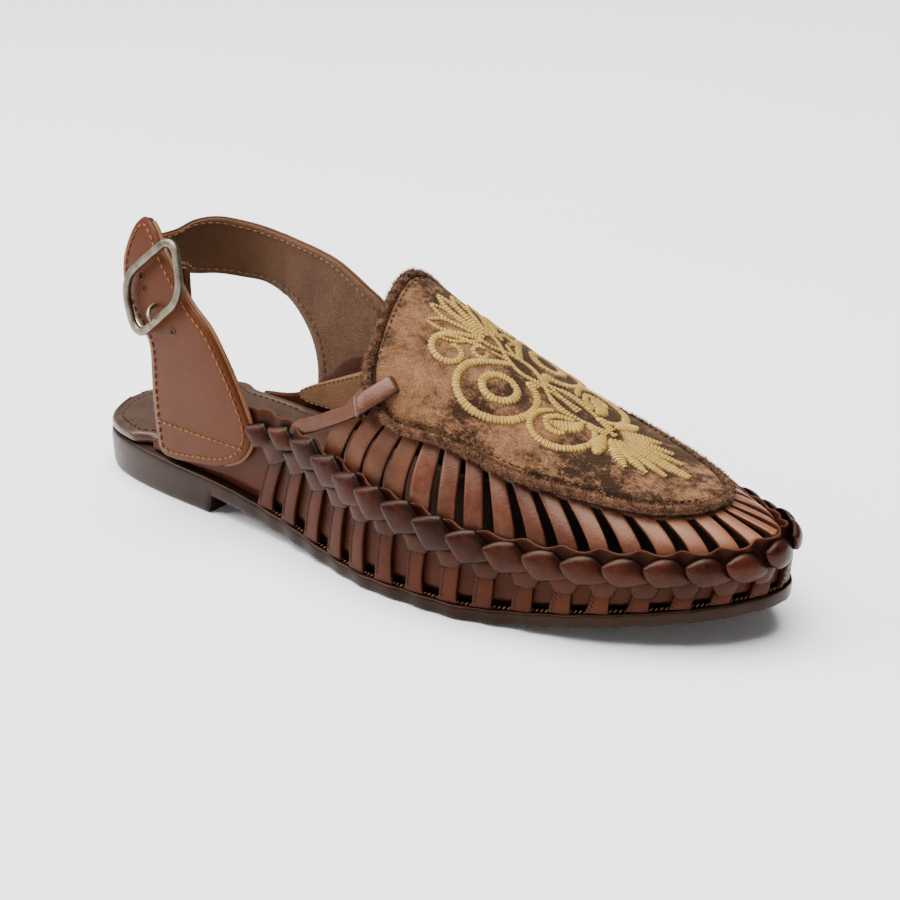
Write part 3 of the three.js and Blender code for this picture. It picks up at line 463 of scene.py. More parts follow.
def grown(name, mesh, tree, slot, **inputs):
    """The mesh that a tree makes from a line or a surface, as a finished piece."""
    piece = bpy.data.objects.new(name, mesh)
    bpy.context.scene.collection.objects.link(piece)
    step = piece.modifiers.new("grow", "NODES")
    step.node_group = tree
    for item in tree.interface.items_tree:
        if item.in_out == "INPUT" and item.name in inputs:
            step[item.identifier] = inputs[item.name]
    shown = piece.evaluated_get(bpy.context.evaluated_depsgraph_get())
    plain = bpy.data.meshes.new_from_object(shown)
    piece.modifiers.clear()
    piece.data = plain
    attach(piece, "root")
    print(f"{name}: {sum(len(p.vertices) - 2 for p in plain.polygons)} triangles")
    return piece


print("trees are closed by Realize Instances and Set Material")

# %% [markdown]
# ## The sewing tree
# A stitch is a bit of thread that swells between two holes. They could be placed one by one, but a
# shoe has hundreds. So the tree walks a line, sets a point at every stitch, and lays a stretched ball
# there, turned along the line and out of the leather, with a tone of its own.

# %% The sewing tree
sewing = Tree("sew", Spacing="Float", Length="Float", Thickness="Float", Lift="Float", Slant="Float",
              Material="Material")
seam = sewing.add("GeometryNodeMeshToCurve", {}, {"Mesh": sewing.given("Geometry")})
points = sewing.add("GeometryNodeResampleCurve", {"mode": "LENGTH"},
                    {"Curve": seam, "Length": sewing.given("Spacing")})
facing = sewing.add("GeometryNodeInputNamedAttribute", {"data_type": "FLOAT_VECTOR"}, {"Name": "facing"})
tangent = sewing.add("GeometryNodeInputTangent")
turned = sewing.add("FunctionNodeAlignRotationToVector", {"axis": "X"}, {"Vector": tangent})
turned = sewing.add("FunctionNodeAlignRotationToVector", {"axis": "Z", "pivot_axis": "X"},
                    {"Rotation": turned, "Vector": facing})
ball = sewing.add("GeometryNodeMeshUVSphere", {}, {"Segments": 6, "Rings": 6, "Radius": 1.0})
place_in = sewing.add("ShaderNodeSeparateXYZ", {}, {0: sewing.add("GeometryNodeInputPosition")})
ball = sewing.add("GeometryNodeStoreNamedAttribute", {"data_type": "FLOAT", "domain": "POINT"},
                  {"Geometry": ball, "Name": "along", "Value": place_in})
size = sewing.add("ShaderNodeCombineXYZ", {}, {
    0: sewing.times(sewing.given("Length"), 0.5), 1: sewing.given("Thickness"),
    2: sewing.times(sewing.given("Thickness"), 0.9)})
ball = sewing.add("GeometryNodeTransform", {}, {"Geometry": ball, "Scale": size})
ball = sewing.add("GeometryNodeSetShadeSmooth", {}, {"Geometry": ball})
stitches = sewing.add("GeometryNodeInstanceOnPoints", {},
                      {"Points": points, "Instance": ball, "Rotation": turned})
slant_turn = sewing.add("ShaderNodeCombineXYZ", {}, {2: sewing.given("Slant")})
stitches = sewing.add("GeometryNodeRotateInstances", {}, {"Instances": stitches, "Rotation": slant_turn})
lift_by = sewing.add("ShaderNodeCombineXYZ", {}, {2: sewing.given("Lift")})
stitches = sewing.add("GeometryNodeTranslateInstances", {}, {"Instances": stitches, "Translation": lift_by})
shade = sewing.add("FunctionNodeRandomValue", {"data_type": "FLOAT"}, {"Seed": 7}, 1)
stitches = sewing.add("GeometryNodeStoreNamedAttribute", {"data_type": "FLOAT", "domain": "INSTANCE"},
                      {"Geometry": stitches, "Name": "tone", "Value": shade})
SEW = sewing.close(stitches)
print("sewing tree:", len(SEW.nodes), "nodes")


def sewn(name, lines, material, slot, spacing=3.0, length=2.4, thick=0.32, lift=0.1, slant=0.0):
    """Stitches along lines, each line a pair: its points and the way its surface faces, in mm."""
    mesh = bpy.data.meshes.new(name)
    points = np.concatenate([p for p, _ in lines])
    facing = np.concatenate([n for _, n in lines]).astype(np.float32)
    edges, at = [], 0
    for p, _ in lines:
        edges += [(at + i, at + i + 1) for i in range(len(p) - 1)]
        at += len(p)
    mesh.from_pydata(((points + SHIFT) * MM).tolist(), edges, [])
    mesh.attributes.new("facing", "FLOAT_VECTOR", "POINT").data.foreach_set("vector", facing.ravel())
    return grown(name, mesh, SEW, slot, Spacing=spacing * MM, Length=length * MM, Thickness=thick * MM,
                 Lift=lift * MM, Slant=slant, Material=material)


# %% [markdown]
# ## The pile tree
# Velvet is a cloth with hairs cut to one height. A hair system would be lost in the export, so the
# tree scatters points over a surface by a fixed seed and stands a thin cone on each, bent a little.

# %% The pile tree
HAIR_RADIUS = 0.00009
piling = Tree("pile", Density="Float", Hair="Float", Seed="Int", Material="Material")
spots = piling.add("GeometryNodeDistributePointsOnFaces", {}, {
    "Mesh": piling.given("Geometry"), "Density": piling.given("Density"), "Seed": piling.given("Seed")})
upright = spots.node.outputs["Rotation"]
hair = piling.add("GeometryNodeMeshCone", {"fill_type": "NONE"}, {
    "Vertices": 3, "Radius Top": 0.1, "Radius Bottom": 1.0, "Depth": 1.0})
size = piling.add("ShaderNodeCombineXYZ", {}, {0: HAIR_RADIUS, 1: HAIR_RADIUS, 2: piling.given("Hair")})
hair = piling.add("GeometryNodeTransform", {}, {"Geometry": hair, "Scale": size})
hairs = piling.add("GeometryNodeInstanceOnPoints", {},
                   {"Points": spots, "Instance": hair, "Rotation": upright})
bend = piling.add("FunctionNodeRandomValue", {"data_type": "FLOAT_VECTOR"},
                  {0: (-0.9, -0.9, -3.1), 1: (0.9, 0.9, 3.1), "Seed": 3})
hairs = piling.add("GeometryNodeRotateInstances", {}, {"Instances": hairs, "Rotation": bend})
shade = piling.add("FunctionNodeRandomValue", {"data_type": "FLOAT"}, {"Seed": 5}, 1)
hairs = piling.add("GeometryNodeStoreNamedAttribute", {"data_type": "FLOAT", "domain": "INSTANCE"},
                   {"Geometry": hairs, "Name": "tone", "Value": shade})
PILE = piling.close(hairs)
print("pile tree:", len(PILE.nodes), "nodes")

# %% [markdown]
# ## Materials
# Leather, velvet, thread and metal could be painted on images, but those would have to be unwrapped
# and carried along. Every material is worked out instead, from the shoe's own coordinates and the
# values that the points carry. A small wrapper lets sockets be added and multiplied like numbers.

# %% Shader terms
class Term:
    """An output socket that can be used in plain arithmetic."""

    def __init__(self, graph, socket):
        self.graph, self.socket = graph, socket

    def _do(self, kind, other=None, swap=False, **settings):
        a, b = (other, self) if swap else (self, other)
        inputs = {0: a} if b is None else {0: a, 1: b}
        return self.graph.node("ShaderNodeMath", {"operation": kind, **settings}, inputs)

    def __add__(self, o):
        return self._do("ADD", o)

    def __radd__(self, o):
        return self._do("ADD", o, True)

    def __sub__(self, o):
        return self._do("SUBTRACT", o)

    def __rsub__(self, o):
        return self._do("SUBTRACT", o, True)

    def __mul__(self, o):
        return self._do("MULTIPLY", o)

    def __rmul__(self, o):
        return self._do("MULTIPLY", o, True)

    def abs(self):
        return self._do("ABSOLUTE")

    def sin(self):
        return self._do("SINE")

    def clamp(self):
        return self._do("ADD", 0.0, use_clamp=True)

    def above(self, low, high):
        return ((self - low) * (1.0 / (high - low))).clamp()


class Graph:
    """One material with a Principled surface."""

    def __init__(self, name, **constants):
        self.material = bpy.data.materials.new(name)
        self.material.use_nodes = True
        self.tree = self.material.node_tree
        self.tree.nodes.clear()
        self.surface = self.tree.nodes.new("ShaderNodeBsdfPrincipled")
        output = self.tree.nodes.new("ShaderNodeOutputMaterial")
        self.tree.links.new(self.surface.outputs[0], output.inputs["Surface"])
        for key, value in constants.items():
            self.surface.inputs[key.replace("_", " ")].default_value = value
        self.place = self.node("ShaderNodeTexCoord", {}, {}, "Object")

    def node(self, kind, settings=None, inputs=None, out=0):
        n = self.tree.nodes.new(kind)
        for key, value in (settings or {}).items():
            setattr(n, key, value)
        for key, value in (inputs or {}).items():
            if isinstance(value, Term):
                self.tree.links.new(value.socket, n.inputs[key])
            else:
                n.inputs[key].default_value = value
        return Term(self, n.outputs[out])

    def value(self, name):
        return self.node("ShaderNodeAttribute", {"attribute_name": name}, {}, "Fac")

    def noise(self, scale, detail=2.0, rough=0.5, stretch=None):
        where = self.place
        if stretch:
            where = self.node("ShaderNodeVectorMath", {"operation": "MULTIPLY"}, {0: where, 1: stretch})
        inputs = {"Vector": where, "Scale": scale, "Detail": detail, "Roughness": rough}
        return self.node("ShaderNodeTexNoise", {}, inputs, "Fac")

    def cells(self, scale):
        inputs = {"Vector": self.place, "Scale": scale}
        return self.node("ShaderNodeTexVoronoi", {"feature": "DISTANCE_TO_EDGE"}, inputs)

    def mix(self, a, b, share):
        def four(c):
            return c if isinstance(c, Term) else (*c[:3], 1.0)

        return self.node("ShaderNodeMix", {"data_type": "RGBA"}, {0: share, 6: four(a), 7: four(b)}, 2)

    def finish(self, color, rough, height=None, depth=0.0002, strength=0.6):
        self.tree.links.new(color.socket, self.surface.inputs["Base Color"])
        if isinstance(rough, Term):
            self.tree.links.new(rough.socket, self.surface.inputs["Roughness"])
        else:
            self.surface.inputs["Roughness"].default_value = rough
        if height is not None:
            inputs = {"Height": height, "Distance": depth, "Strength": strength}
            bump = self.node("ShaderNodeBump", {}, inputs, "Normal")
            self.tree.links.new(bump.socket, self.surface.inputs["Normal"])
        return self.material


print("shader terms ready")

# %% [markdown]
# ## Leather and thread
# Waxed leather is mottled, shows fine cells of grain and shallow creases, and is darker or lighter
# where it was cut. All the leathers here share that, so one function makes them, each with its own
# three colours. Thread is two plies twisted, which a wave along the stitch shows well enough.

# %% Leather and thread
WARM_SHINE = (1.0, 0.70, 0.50, 1.0)
WARM_COAT = (1.0, 0.8, 0.65, 1.0)
PAINTED_SHADE = (0.004, 0.002, 0.0015)


def leather(name, base, dark, light, rough=0.45, grain=900.0, depth=0.0001, coat=0.0, edge=0.0,
            streaks=0.0, gloss=0.3, rim=None, mottle=1.0):
    """Smooth leather: soft mottling, fine grain, small creases, and cut edges darker, or lighter below 0."""
    g = Graph(name, Coat_Weight=coat, Coat_Roughness=0.3, Specular_IOR_Level=gloss,
              Specular_Tint=WARM_SHINE, Coat_Tint=WARM_COAT)
    big = g.noise(70, 4, 0.6)
    fine = g.noise(420, 3, 0.6)
    pores = g.noise(1500, 2, 0.5)
    tone = g.value("tone")
    color = g.mix(dark, base, ((big - 0.5) * mottle + 0.5).above(0.22, 0.50))
    worn = big * 0.4 * mottle + fine * 0.4 + pores * 0.15 + tone * 0.4
    color = g.mix(color, light, worn.above(0.42, 0.95))
    if rim:
        color = g.mix(color, rim, g.value("across"))
    elif edge:
        raw = g.value("across").abs().above(0.9, 0.985) * abs(edge)
        color = g.mix(color, dark if edge > 0 else light, raw)
    # Painted shade: each point's dark value darkens it towards near black, and below 0 it paints light
    # instead.
    color = g.mix(color, PAINTED_SHADE, g.value("dark").clamp())
    color = g.mix(color, light, (0.0 - g.value("dark")).clamp())
    grain_height = g.cells(grain).above(0.0, 0.35) * 0.5 + g.noise(grain * 0.6, 3, 0.6) * 0.5
    crease = g.noise(160, 5, 0.65)
    height = grain_height + crease * 1.2
    if streaks:
        wave = (g.value("across") * 46.0 + g.noise(90, 2) * 2.5).sin()
        height = height + wave * streaks
        color = g.mix(color, dark, (wave * -0.5 + 0.1).clamp() * streaks * 0.7)
    roughness = rough + (fine - 0.5) * 0.25 - big * 0.08
    return g.finish(color, roughness, height, depth)


def thread(name, base, shade):
    g = Graph(name, Specular_IOR_Level=0.15)
    twist = (g.value("along") * 9.0 + g.noise(700, 2) * 3.0).sin()
    color = g.mix(shade, base, (twist * 0.35 + 0.65).clamp())
    color = g.mix(color, shade, g.value("tone") * 0.5)
    return g.finish(color, 0.6, twist, 0.00008)


print("leather and thread ready")

# %% [markdown]
# ## Moulded sole
# The sole is moulded rubber with a low heel, a waist and a sprung toe, and its edge is pulled into
# small waves by the strips. It could be an extruded outline with a bevel, but its thickness changes
# from heel to toe. So it is one loft: a ring across the shoe at each station, closed at both ends.

# %% Outsole
BREAST_MIDDLE, BREAST_DEEP = 0.2655, 1.6
SOLE_WAVE = 0.28
SOLE_EDGE = [  # inset in mm, share of the height
    (1.2, 0), (0.75, 0.02), (0.35, 0.10), (0.12, 0.28), (0.0, 0.6), (0.0, 0.82), (0.15, 0.92), (0.5, 0.985),
    (1.1, 1.0)]


def stations(count):
    """Shares of a length, closer together towards both ends."""
    at = (1 - np.cos(np.linspace(0, np.pi, count + 1))) / 2
    at[0], at[-1] = at[1] * 0.12, 1 - at[1] * 0.12
    return at


def loft_across(x, low, high, half, profile, around_top=9):
    """Rings across the shoe: profile rows are (inset, share of the height), low to high."""
    fill = np.linspace(0, 1, around_top)[1:-1, None]
    rings = []
    for i in range(len(x)):
        sides = []
        for side in (-1, 1):
            h = half(side, x[i])
            inset = np.minimum([q[0] for q in profile], h * 0.45)
            z = low[i] + (high[i] - low[i]) * np.array([q[1] for q in profile])
            sides.append(np.stack([np.full(len(profile), x[i]), side * (h - inset), z], 1))
        top = sides[0][-1] + (sides[1][-1] - sides[0][-1]) * fill
        bottom = sides[1][0] + (sides[0][0] - sides[1][0]) * fill
        rings.append(np.concatenate([sides[0], top, sides[1][::-1], bottom]))
    return np.array(rings)


def pulled_half(side, at_x):
    """The sole's half width, with the waves that the strips pull into its edge."""
    wave = SOLE_WAVE * np.sin(run_at(side, at_x) * 2 * np.pi / STRIP_PITCH) * np.clip((at_x - 70) / 40, 0, 1)
    return float(half_width(side, at_x / LENGTH)) + float(wave)


outsole_rubber = leather("sole rubber", (0.0100, 0.0033, 0.0023), (0.006, 0.0020, 0.0015),
                         (0.027, 0.0108, 0.0076), rough=0.40, grain=1500, depth=0.00004, gloss=0.19)
at = stations(260)
breast = [HEEL_SEAT / LENGTH, (HEEL_SEAT + BREAST_DEEP) / LENGTH]
at = np.sort(np.concatenate([at[np.abs(at - BREAST_MIDDLE) > 0.004], breast]))
x = at * LENGTH
low = np.where(x <= HEEL_SEAT + 0.01, 0.0, underside(at))
sole = Shape()
sole.grid(loft_across(x, low, sole_top(x), pulled_half, SOLE_EDGE), wrap=True, ends=True)
sole.object("outsole_moulded", outsole_rubber, "outsole", "outsole")

# %% [markdown]
# ## Footbed
# A padded insole lies on the sole, covered in leather that is turned over its edge. A bevel would
# round it evenly, but a turned edge stands a little proud and dips beside its seam. So it is the same
# kind of loft, with that profile. Further forward it draws in, to stand inside the band.

# %% Footbed with its turned edge
FOOTBED, FOOTBED_INSET = 3.7, 0.5
TURNED_EDGE = [  # inset in mm, share of the height
    (0.9, 0), (0.2, 0.15), (0.0, 0.42), (0.12, 0.72), (0.7, 0.95), (1.7, 1.04), (2.9, 1.03), (3.7, 0.94),
    (4.3, 0.90), (5.2, 0.95), (7.0, 0.97)]
footbed_leather = leather("footbed leather", (0.042, 0.0235, 0.0157), (0.017, 0.009, 0.006),
                          (0.085, 0.052, 0.036), rough=0.36, grain=1300, depth=0.00004, coat=0.12)


def footbed_half(side, at_x):
    inset = FOOTBED_INSET + (ROOM - FOOTBED_INSET) * eased((at_x - 28.0) / 9.8)
    if at_x < 130:
        return float(half_width(side, at_x / LENGTH)) - inset
    return max(float(room_width(side, at_x)), 1.0)


x = FOOTBED_INSET + stations(200) * (LENGTH - ROOM - FOOTBED_INSET)
bed_floor = sole_top(x) + CLEAR
# Painted shade: forward of x 112 the footbed lies under the vamp and is painted dark.
shaded = 0.96 * np.clip((x - 112) / 22, 0, 1)
footbed = Shape()
footbed.grid(loft_across(x, bed_floor, bed_floor + FOOTBED, footbed_half, TURNED_EDGE, 13),
             wrap=True, ends=True, dark=shaded[:, None])
footbed.object("footbed_covered", footbed_leather, "footbed", "footbed")

# %% [markdown]
# ## Footbed stitching
# One line of dark thread holds the turned edge down round the heel. It follows the sole's edge, moved
# in by the same rule as the footbed, and the sewing tree does the rest.

# %% Stitching round the heel
SEAM_INSET = 4.4
ring = []
for side in (-1, 1):
    p, walk, inward = WALK[side]
    keep = p[:, 0] < 62
    drawn_in = (ROOM - 0.2) * eased((p[keep, 0] - 26.0) / 10.0)[:, None]
    q = p[keep] + (SEAM_INSET + drawn_in) * inward[keep]
    ring.append(q if side < 0 else q[::-1])
ring = np.concatenate(ring)[::12]
seam_height = sole_top(ring[:, 0]) + CLEAR + FOOTBED * 0.92
path = smooth_line(np.stack([ring[:, 0], ring[:, 1], seam_height], 1), 500)
dark_thread = thread("dark thread", (0.022, 0.013, 0.009), (0.008, 0.005, 0.004))
facing_up = np.tile((0, 0, 1.0), (len(path), 1))
sewn("footbed_stitching", [(path, facing_up)], dark_thread, "footbed", 2.9, 2.1, 0.3)

# %% [markdown]
# ## Side band
# An upright band of leather stands on the sole from heel side to heel side. Its rim is waved, because
# each strip of the braid pulls it in, and its cut edge is lighter. A cloth simulation would give some
# waves, but not one for each strip, so the wall is a net of runs and profile rows with a wave added.

# %% Band wall
BAND_ENDS = 39.0
BAND_PROFILE = [  # inset past the band's, share of foot to rim, share of the wave, painted shade, redness
    (0.7, 0.0, 0, 1, 0), (0.5, 0.09, 0, 1, 0), (0, 0.115, 0, 0.35, 0), (-0.1, 0.15, 0, 0.05, 0),
    (0, 0.3, 0, 0.1, 0), (0, 0.52, 0, 0.45, 0), (0, 0.64, 0.1, 0.75, 0.5), (0.1, 0.78, 0.3, 0.75, 1),
    (0.35, 0.87, 0.75, 0.3, 1), (0.5, 0.965, 1, 0, 0.8), (0.55, 0.992, 1, -0.3, 0.2),
    (0.95, 1.0, 1, -0.3, 0.1), (1.35, 0.992, 1, 0, 0.5), (1.45, 0.96, 1, 0, 1),
    (BAND_WALL, 0.86, 0.5, 0.5, 0.6), (BAND_WALL, 0.75, 0, 0.95, 0.2), (BAND_WALL, 0.4, 0, 0.97, 0),
    (BAND_WALL, 0.0, 0, 0.97, 0)]


def place(run, inset, z):
    """Points at runs along the sole's edge, moved in from it and set at a height."""
    p = edge_point(run, np.broadcast_to(inset, np.shape(run)))
    return np.concatenate([p, np.broadcast_to(z, np.shape(run))[:, None]], 1)


def reach(side):
    return (STRIPS_OUTER if side < 0 else STRIPS_INNER) * STRIP_PITCH


band_leather = leather("band leather", (0.040, 0.0086, 0.0036), (0.022, 0.0048, 0.0023),
                       (0.072, 0.0190, 0.0084), rough=0.5, grain=1000, gloss=0.14,
                       rim=(0.026, 0.0050, 0.0034))
run = np.linspace(run_at(-1, BAND_ENDS), run_at(1, BAND_ENDS), 1500)
beyond = np.where(run < 0, reach(-1), reach(1)) + STRIP_PITCH * 0.7 - np.abs(run)
braided = eased(beyond / STRIP_PITCH)
phase = 2 * np.pi * (run - 0.8) / STRIP_PITCH
body = place(run, BAND_INSET, 0)
foot = sole_top(body[:, 0]) + CLEAR
rim = np.maximum(rim_height(body[:, 0]), foot + 2.0)
wave = -braided * (0.85 * np.cos(phase) + 0.18 * np.cos(phase * 2 + 1) + 0.25 * np.sin(phase * 0.37))
lip = rim + braided * (0.35 * np.cos(phase + 0.7))
# Painted shade: the wall is darkened at its foot between the strips, under the braid and inside.
gap = braided * np.clip(-np.cos(2 * np.pi * run / STRIP_PITCH) * 2.5 + 0.4, 0, 1)
net, dark, red = [], [], []
for past, share, waved, deep, reddish in BAND_PROFILE:
    net.append(place(run, BAND_INSET + past - waved * wave, foot + (lip - foot) * share))
    dark.append((gap if share < 0.2 else braided) * deep)
    red.append(braided * reddish)
band = Shape()
band.grid(np.stack(net, 1), wrap=True, ends=True, dark=np.stack(dark, 1), along=run[:, None],
          across=np.stack(red, 1))
band.object("side_band_wall", band_leather, "band_leather", "side_band")

# %% [markdown]
# ## Laced strips
# Leather strips come up from the sole's edge, lean towards the heel at the rear, and go in under the
# braid. An array along a curve would make them all alike. A loop lays each one as a strap, and small
# random shifts with a fixed seed keep them uneven, like work done by hand. A whipped seam holds them.

# %% Strips that stand on the sole's edge
def numbers(k):
    """Strip k's run, its place along the shoe, how far to the rear it is, its lean and its braid's top."""
    centre = k * STRIP_PITCH
    x = float(place(np.array([centre]), 0, 0)[0, 0])
    rear = float(np.clip((150 - x) / 50, 0, 1)) if k < 0 else float(np.clip((120 - x) / 60, 0, 1)) * 0.5
    lean = 1.8 + 5.0 * rear
    top = float(rim_height(x)) - 3.2 - 0.7 * rear
    return centre, x, rear, lean, top


strips, whipping = Shape(), []
for k in range(-STRIPS_OUTER, STRIPS_INNER + 1):
    centre, x, rear, lean, top = numbers(k)
    t = np.linspace(0, 1, 30)
    low = float(sole_top(x)) + 0.15
    head = top - 8.0 - 2.6 * rear
    z = low + (head - low) * t
    sway = (lean - 0.5) * t ** 1.15 + rng.uniform(-0.35, 0.35)
    half = (3.1 + 0.35 * rear) - 0.45 * t + 0.12 * np.sin(t * 6 + k)
    half = half + 0.5 * np.exp(-t * 14)
    inset = 0.75 + 0.55 * t - 0.55 * np.sin(t * np.pi) + rng.uniform(-0.1, 0.1)
    left, right = place(centre + sway - half, inset, z), place(centre + sway + half, inset, z)
    out = unit(place(centre + sway, inset - 1, z) - place(centre + sway, inset, z))
    # Painted shade: each strip is darkened at its foot and where it goes in under the braid.
    shade_under_braid = 0.55 * np.clip((t - 0.72) / 0.28, 0, 1)
    seam_at = left + (right - left) * 0.16 + out * 0.12
    whipping.append((seam_at[4:-4], out[4:-4]))
    strap(strips, left, right, out, 1.5, crown=0.22, power=9, tone=rng.uniform(-0.3, 0.3),
          dark=(np.clip((0.06 - t) * 9, 0, 0.5) + shade_under_braid)[:, None])
strip_leather = leather("strip leather", (0.042, 0.0078, 0.0032), (0.022, 0.0042, 0.0020),
                        (0.078, 0.0195, 0.0080), rough=0.48, grain=1000, depth=0.00012, edge=0.9, gloss=0.15)
strips.object("laced_strips", strip_leather, "band_leather")
brown_thread = thread("brown thread", (0.040, 0.014, 0.008), (0.010, 0.004, 0.003))
sewn("strip_whipping", whipping, brown_thread, "band_leather", 1.15, 1.7, 0.2, 0.0, slant=0.8)

# %% [markdown]
# ## Braid
# The strips cross under the rim and show two rows of leaves: an upper leaf whose left edge is on top
# and whose right edge goes under the next, and a lower one. True crossing strips would be hidden for
# most of their length, so only the leaves that show are made, each a pillow between four corners.

# %% A leaf between four corners
def leaf(shape, corners, height, soft, centre, top, bow, thick, dark, tone, count=17):
    """A pillow between four corners (along, up), whose height over the band is a function of u, v."""
    s = np.linspace(-1, 1, count)
    S, T = np.meshgrid(s, s, indexing="ij")
    U = 0.5 + 0.5 * S * np.sqrt(1 - soft * T ** 2 / 2)
    V = 0.5 + 0.5 * T * np.sqrt(1 - soft * S ** 2 / 2)
    tl, tr, br, bl = (np.array(c, float) for c in corners)
    flat = ((1 - U) * (1 - V))[..., None] * tl + (U * (1 - V))[..., None] * tr
    flat = flat + (U * V)[..., None] * br + ((1 - U) * V)[..., None] * bl
    top_bow, right_bow, low_bow, left_bow = bow
    flat[..., 1] += 4 * U * (1 - U) * ((1 - V) * top_bow + V * low_bow)
    flat[..., 0] += 4 * V * (1 - V) * (U * right_bow + (1 - U) * left_bow)
    along, up = (centre + flat[..., 0]).ravel(), (top + flat[..., 1]).ravel()
    surface = BAND_INSET - CLEAR - height(U, V).ravel()
    turned_in = (np.maximum(np.abs(S), np.abs(T)) ** 10).ravel() * 0.35
    outer = place(along, surface + turned_in, up).reshape(count, count, 3)
    inner = place(along, surface + thick, up).reshape(count, count, 3)[:, ::-1]
    # The leaf's inner face gets painted shade.
    shape.grid(np.concatenate([outer, inner], 1), wrap=True, ends=True, tone=tone,
               across=np.concatenate([S, -S], 1), along=np.concatenate([T, -T], 1),
               dark=np.concatenate([dark, 0 * S + 0.6], 1))


def upper_height(rope):
    """An upper leaf is highest at its left edge; towards the toe it swells like a rope's strand."""
    def height(U, V):
        swell = (0.6 + 0.6 * rope) * np.sin(np.pi * U) ** 0.8 * np.sin(np.pi * V) ** 0.8
        return 1.3 + 2.2 * (1 - U ** 1.2) + swell - 0.6 * np.abs(2 * V - 1) ** 4
    return height


def lower_height(U, V):
    return 1.2 + 0.9 * (1 - U) + 0.5 * np.sin(np.pi * U) * np.sin(np.pi * V)


def between(here, there, share):
    """Corners part of the way from one leaf's to another's."""
    return [np.array(a) * (1 - share) + np.array(b) * share for a, b in zip(here, there)]


def stirred(corners, start, stir, near=1.0):
    """Corners moved along to a start, and shifted a little each."""
    return [(start + p[0] * near + stir[i], p[1] * near + stir[i + 4] * 0.6) for i, p in enumerate(corners)]


print("leaf helpers ready")

# %% Both rows of leaves
UPPER_FLAT = [(-0.3, 0.5), (8.6, 2.8), (16.6, -6.0), (5.7, -8.2)]
UPPER_ROPE = [(-0.2, 0.2), (9.4, 2.0), (16.4, -4.7), (4.6, -6.2)]
LOWER_TOE = [(-6.0, -4.4), (6.2, -3.8), (2.6, -9.8), (-3.3, -9.6)]
LOWER_REAR = [(-7.4, -5.8), (2.4, -3.2), (5.2, -8.9), (-3.1, -12.8)]
uppers, lowers = Shape(), Shape()
u, v = np.meshgrid(np.linspace(0, 1, 17), np.linspace(0, 1, 17), indexing="ij")
# Painted shade: an upper leaf darkens at its right end, where it goes under the next, and along its top and
# bottom; a lower leaf darkens along its top, under the upper row, and at its right end.
upper_shade = (0.85 * np.clip((u - 0.72) * 4, 0, 1) + 0.6 * np.clip((0.08 - v) * 12, 0, 1)
              + 0.5 * np.clip((v - 0.9) * 8, 0, 1))
lower_shade = 0.85 * np.clip((0.26 - v) * 5, 0, 1) + 0.5 * np.clip((u - 0.75) * 4, 0, 1)
for k in range(-STRIPS_OUTER - 1, STRIPS_INNER + 1):
    centre, x, rear, lean, top = numbers(k)
    toe = 1 - rear
    near = float(np.clip((k + STRIPS_OUTER + 1.4) / 2, 0.75, 1))
    rope = float(np.clip((x - 165) / 50, 0, 1)) * toe
    stir = rng.uniform(-0.25, 0.25, 8)
    tone = rng.uniform(-0.25, 0.25) + 0.35 * (k < -15) + 0.15 * rope
    leaf(uppers, stirred(between(UPPER_FLAT, UPPER_ROPE, rope), lean - 1.6, stir, near), upper_height(rope),
         0.03 + 0.3 * rope, centre, top, (0.5 * toe + 0.6 * rope, 0.3, -0.5 * rope, -0.8 * rope), 1.3,
         upper_shade, tone)
    if k < -STRIPS_OUTER:
        continue
    leaf(lowers, stirred(between(LOWER_TOE, LOWER_REAR, rear), lean, stir), lower_height, 0.03, centre, top,
         (0, -0.3 * toe, -0.7, 0.3 * toe), 1.4, lower_shade, rng.uniform(-0.2, 0.3))
# The leaves' cut edges are lighter: partly raw edge, partly painted highlight.
braid_leather = leather("braid leather", (0.0155, 0.0025, 0.0017), (0.006, 0.0012, 0.0009),
                        (0.072, 0.0145, 0.0080), rough=0.38, grain=800, depth=0.00008, coat=0.03, edge=-0.3,
                        streaks=0.3, gloss=0.19)
under_leather = leather("braid under leather", (0.029, 0.0060, 0.0031), (0.013, 0.0029, 0.0017),
                        (0.058, 0.0140, 0.0072), rough=0.42, depth=0.00008, edge=-0.3, streaks=0.08,
                        gloss=0.18)
uppers.object("braid_upper_leaves", braid_leather, "braid_leather", "braid")
lowers.object("braid_lower_leaves", under_leather, "braid_leather")

# %% [markdown]
# ## Foot stitching
# Between the strips, the band is sewn to the sole by short slanting stitches of tan thread. Each gap
# gets its own short line, so that no stitch lands on a strip.

# %% Thread at the strips' feet
tan_thread = thread("tan thread", (0.16, 0.085, 0.040), (0.04, 0.02, 0.012))
lines = []
for k in range(-STRIPS_OUTER, STRIPS_INNER):
    at = np.linspace(k * STRIP_PITCH + 3.6, (k + 1) * STRIP_PITCH - 3.6, 14)
    p = place(at, BAND_INSET - 0.9, sole_top(edge_point(at, 0)[:, 0]) + 0.55)
    outward = place(at, BAND_INSET - 2, 0) - place(at, BAND_INSET, 0)
    lines.append((p, unit(outward + (0, 0, 0.6))))
sewn("foot_stitching", lines, tan_thread, "band_leather", 1.25, 1.5, 0.3, 0.0, slant=0.7)

# %% [markdown]
# ## Vamp strips
# The vamp is one piece of leather slashed into strips down each side. They come up out of the side
# band, run over the foot and go in under the velvet. Cutting slots by a boolean would leave flat
# strips with ragged meshes, so each strip is a strap between its own two cut edges, a little puffed.

# %% Slashed strips
REAR_FROM = 13
vamp_leather = leather("vamp leather", (0.062, 0.0175, 0.0098), (0.034, 0.0094, 0.0055),
                       (0.165, 0.062, 0.033), rough=0.42, grain=1000, coat=0.06, edge=0.8)
vamp_rear_leather = leather("vamp rear leather", (0.088, 0.028, 0.0135), (0.038, 0.011, 0.006),
                            (0.155, 0.058, 0.030), rough=0.44, grain=1000, coat=0.05, edge=0.8, streaks=0.7)


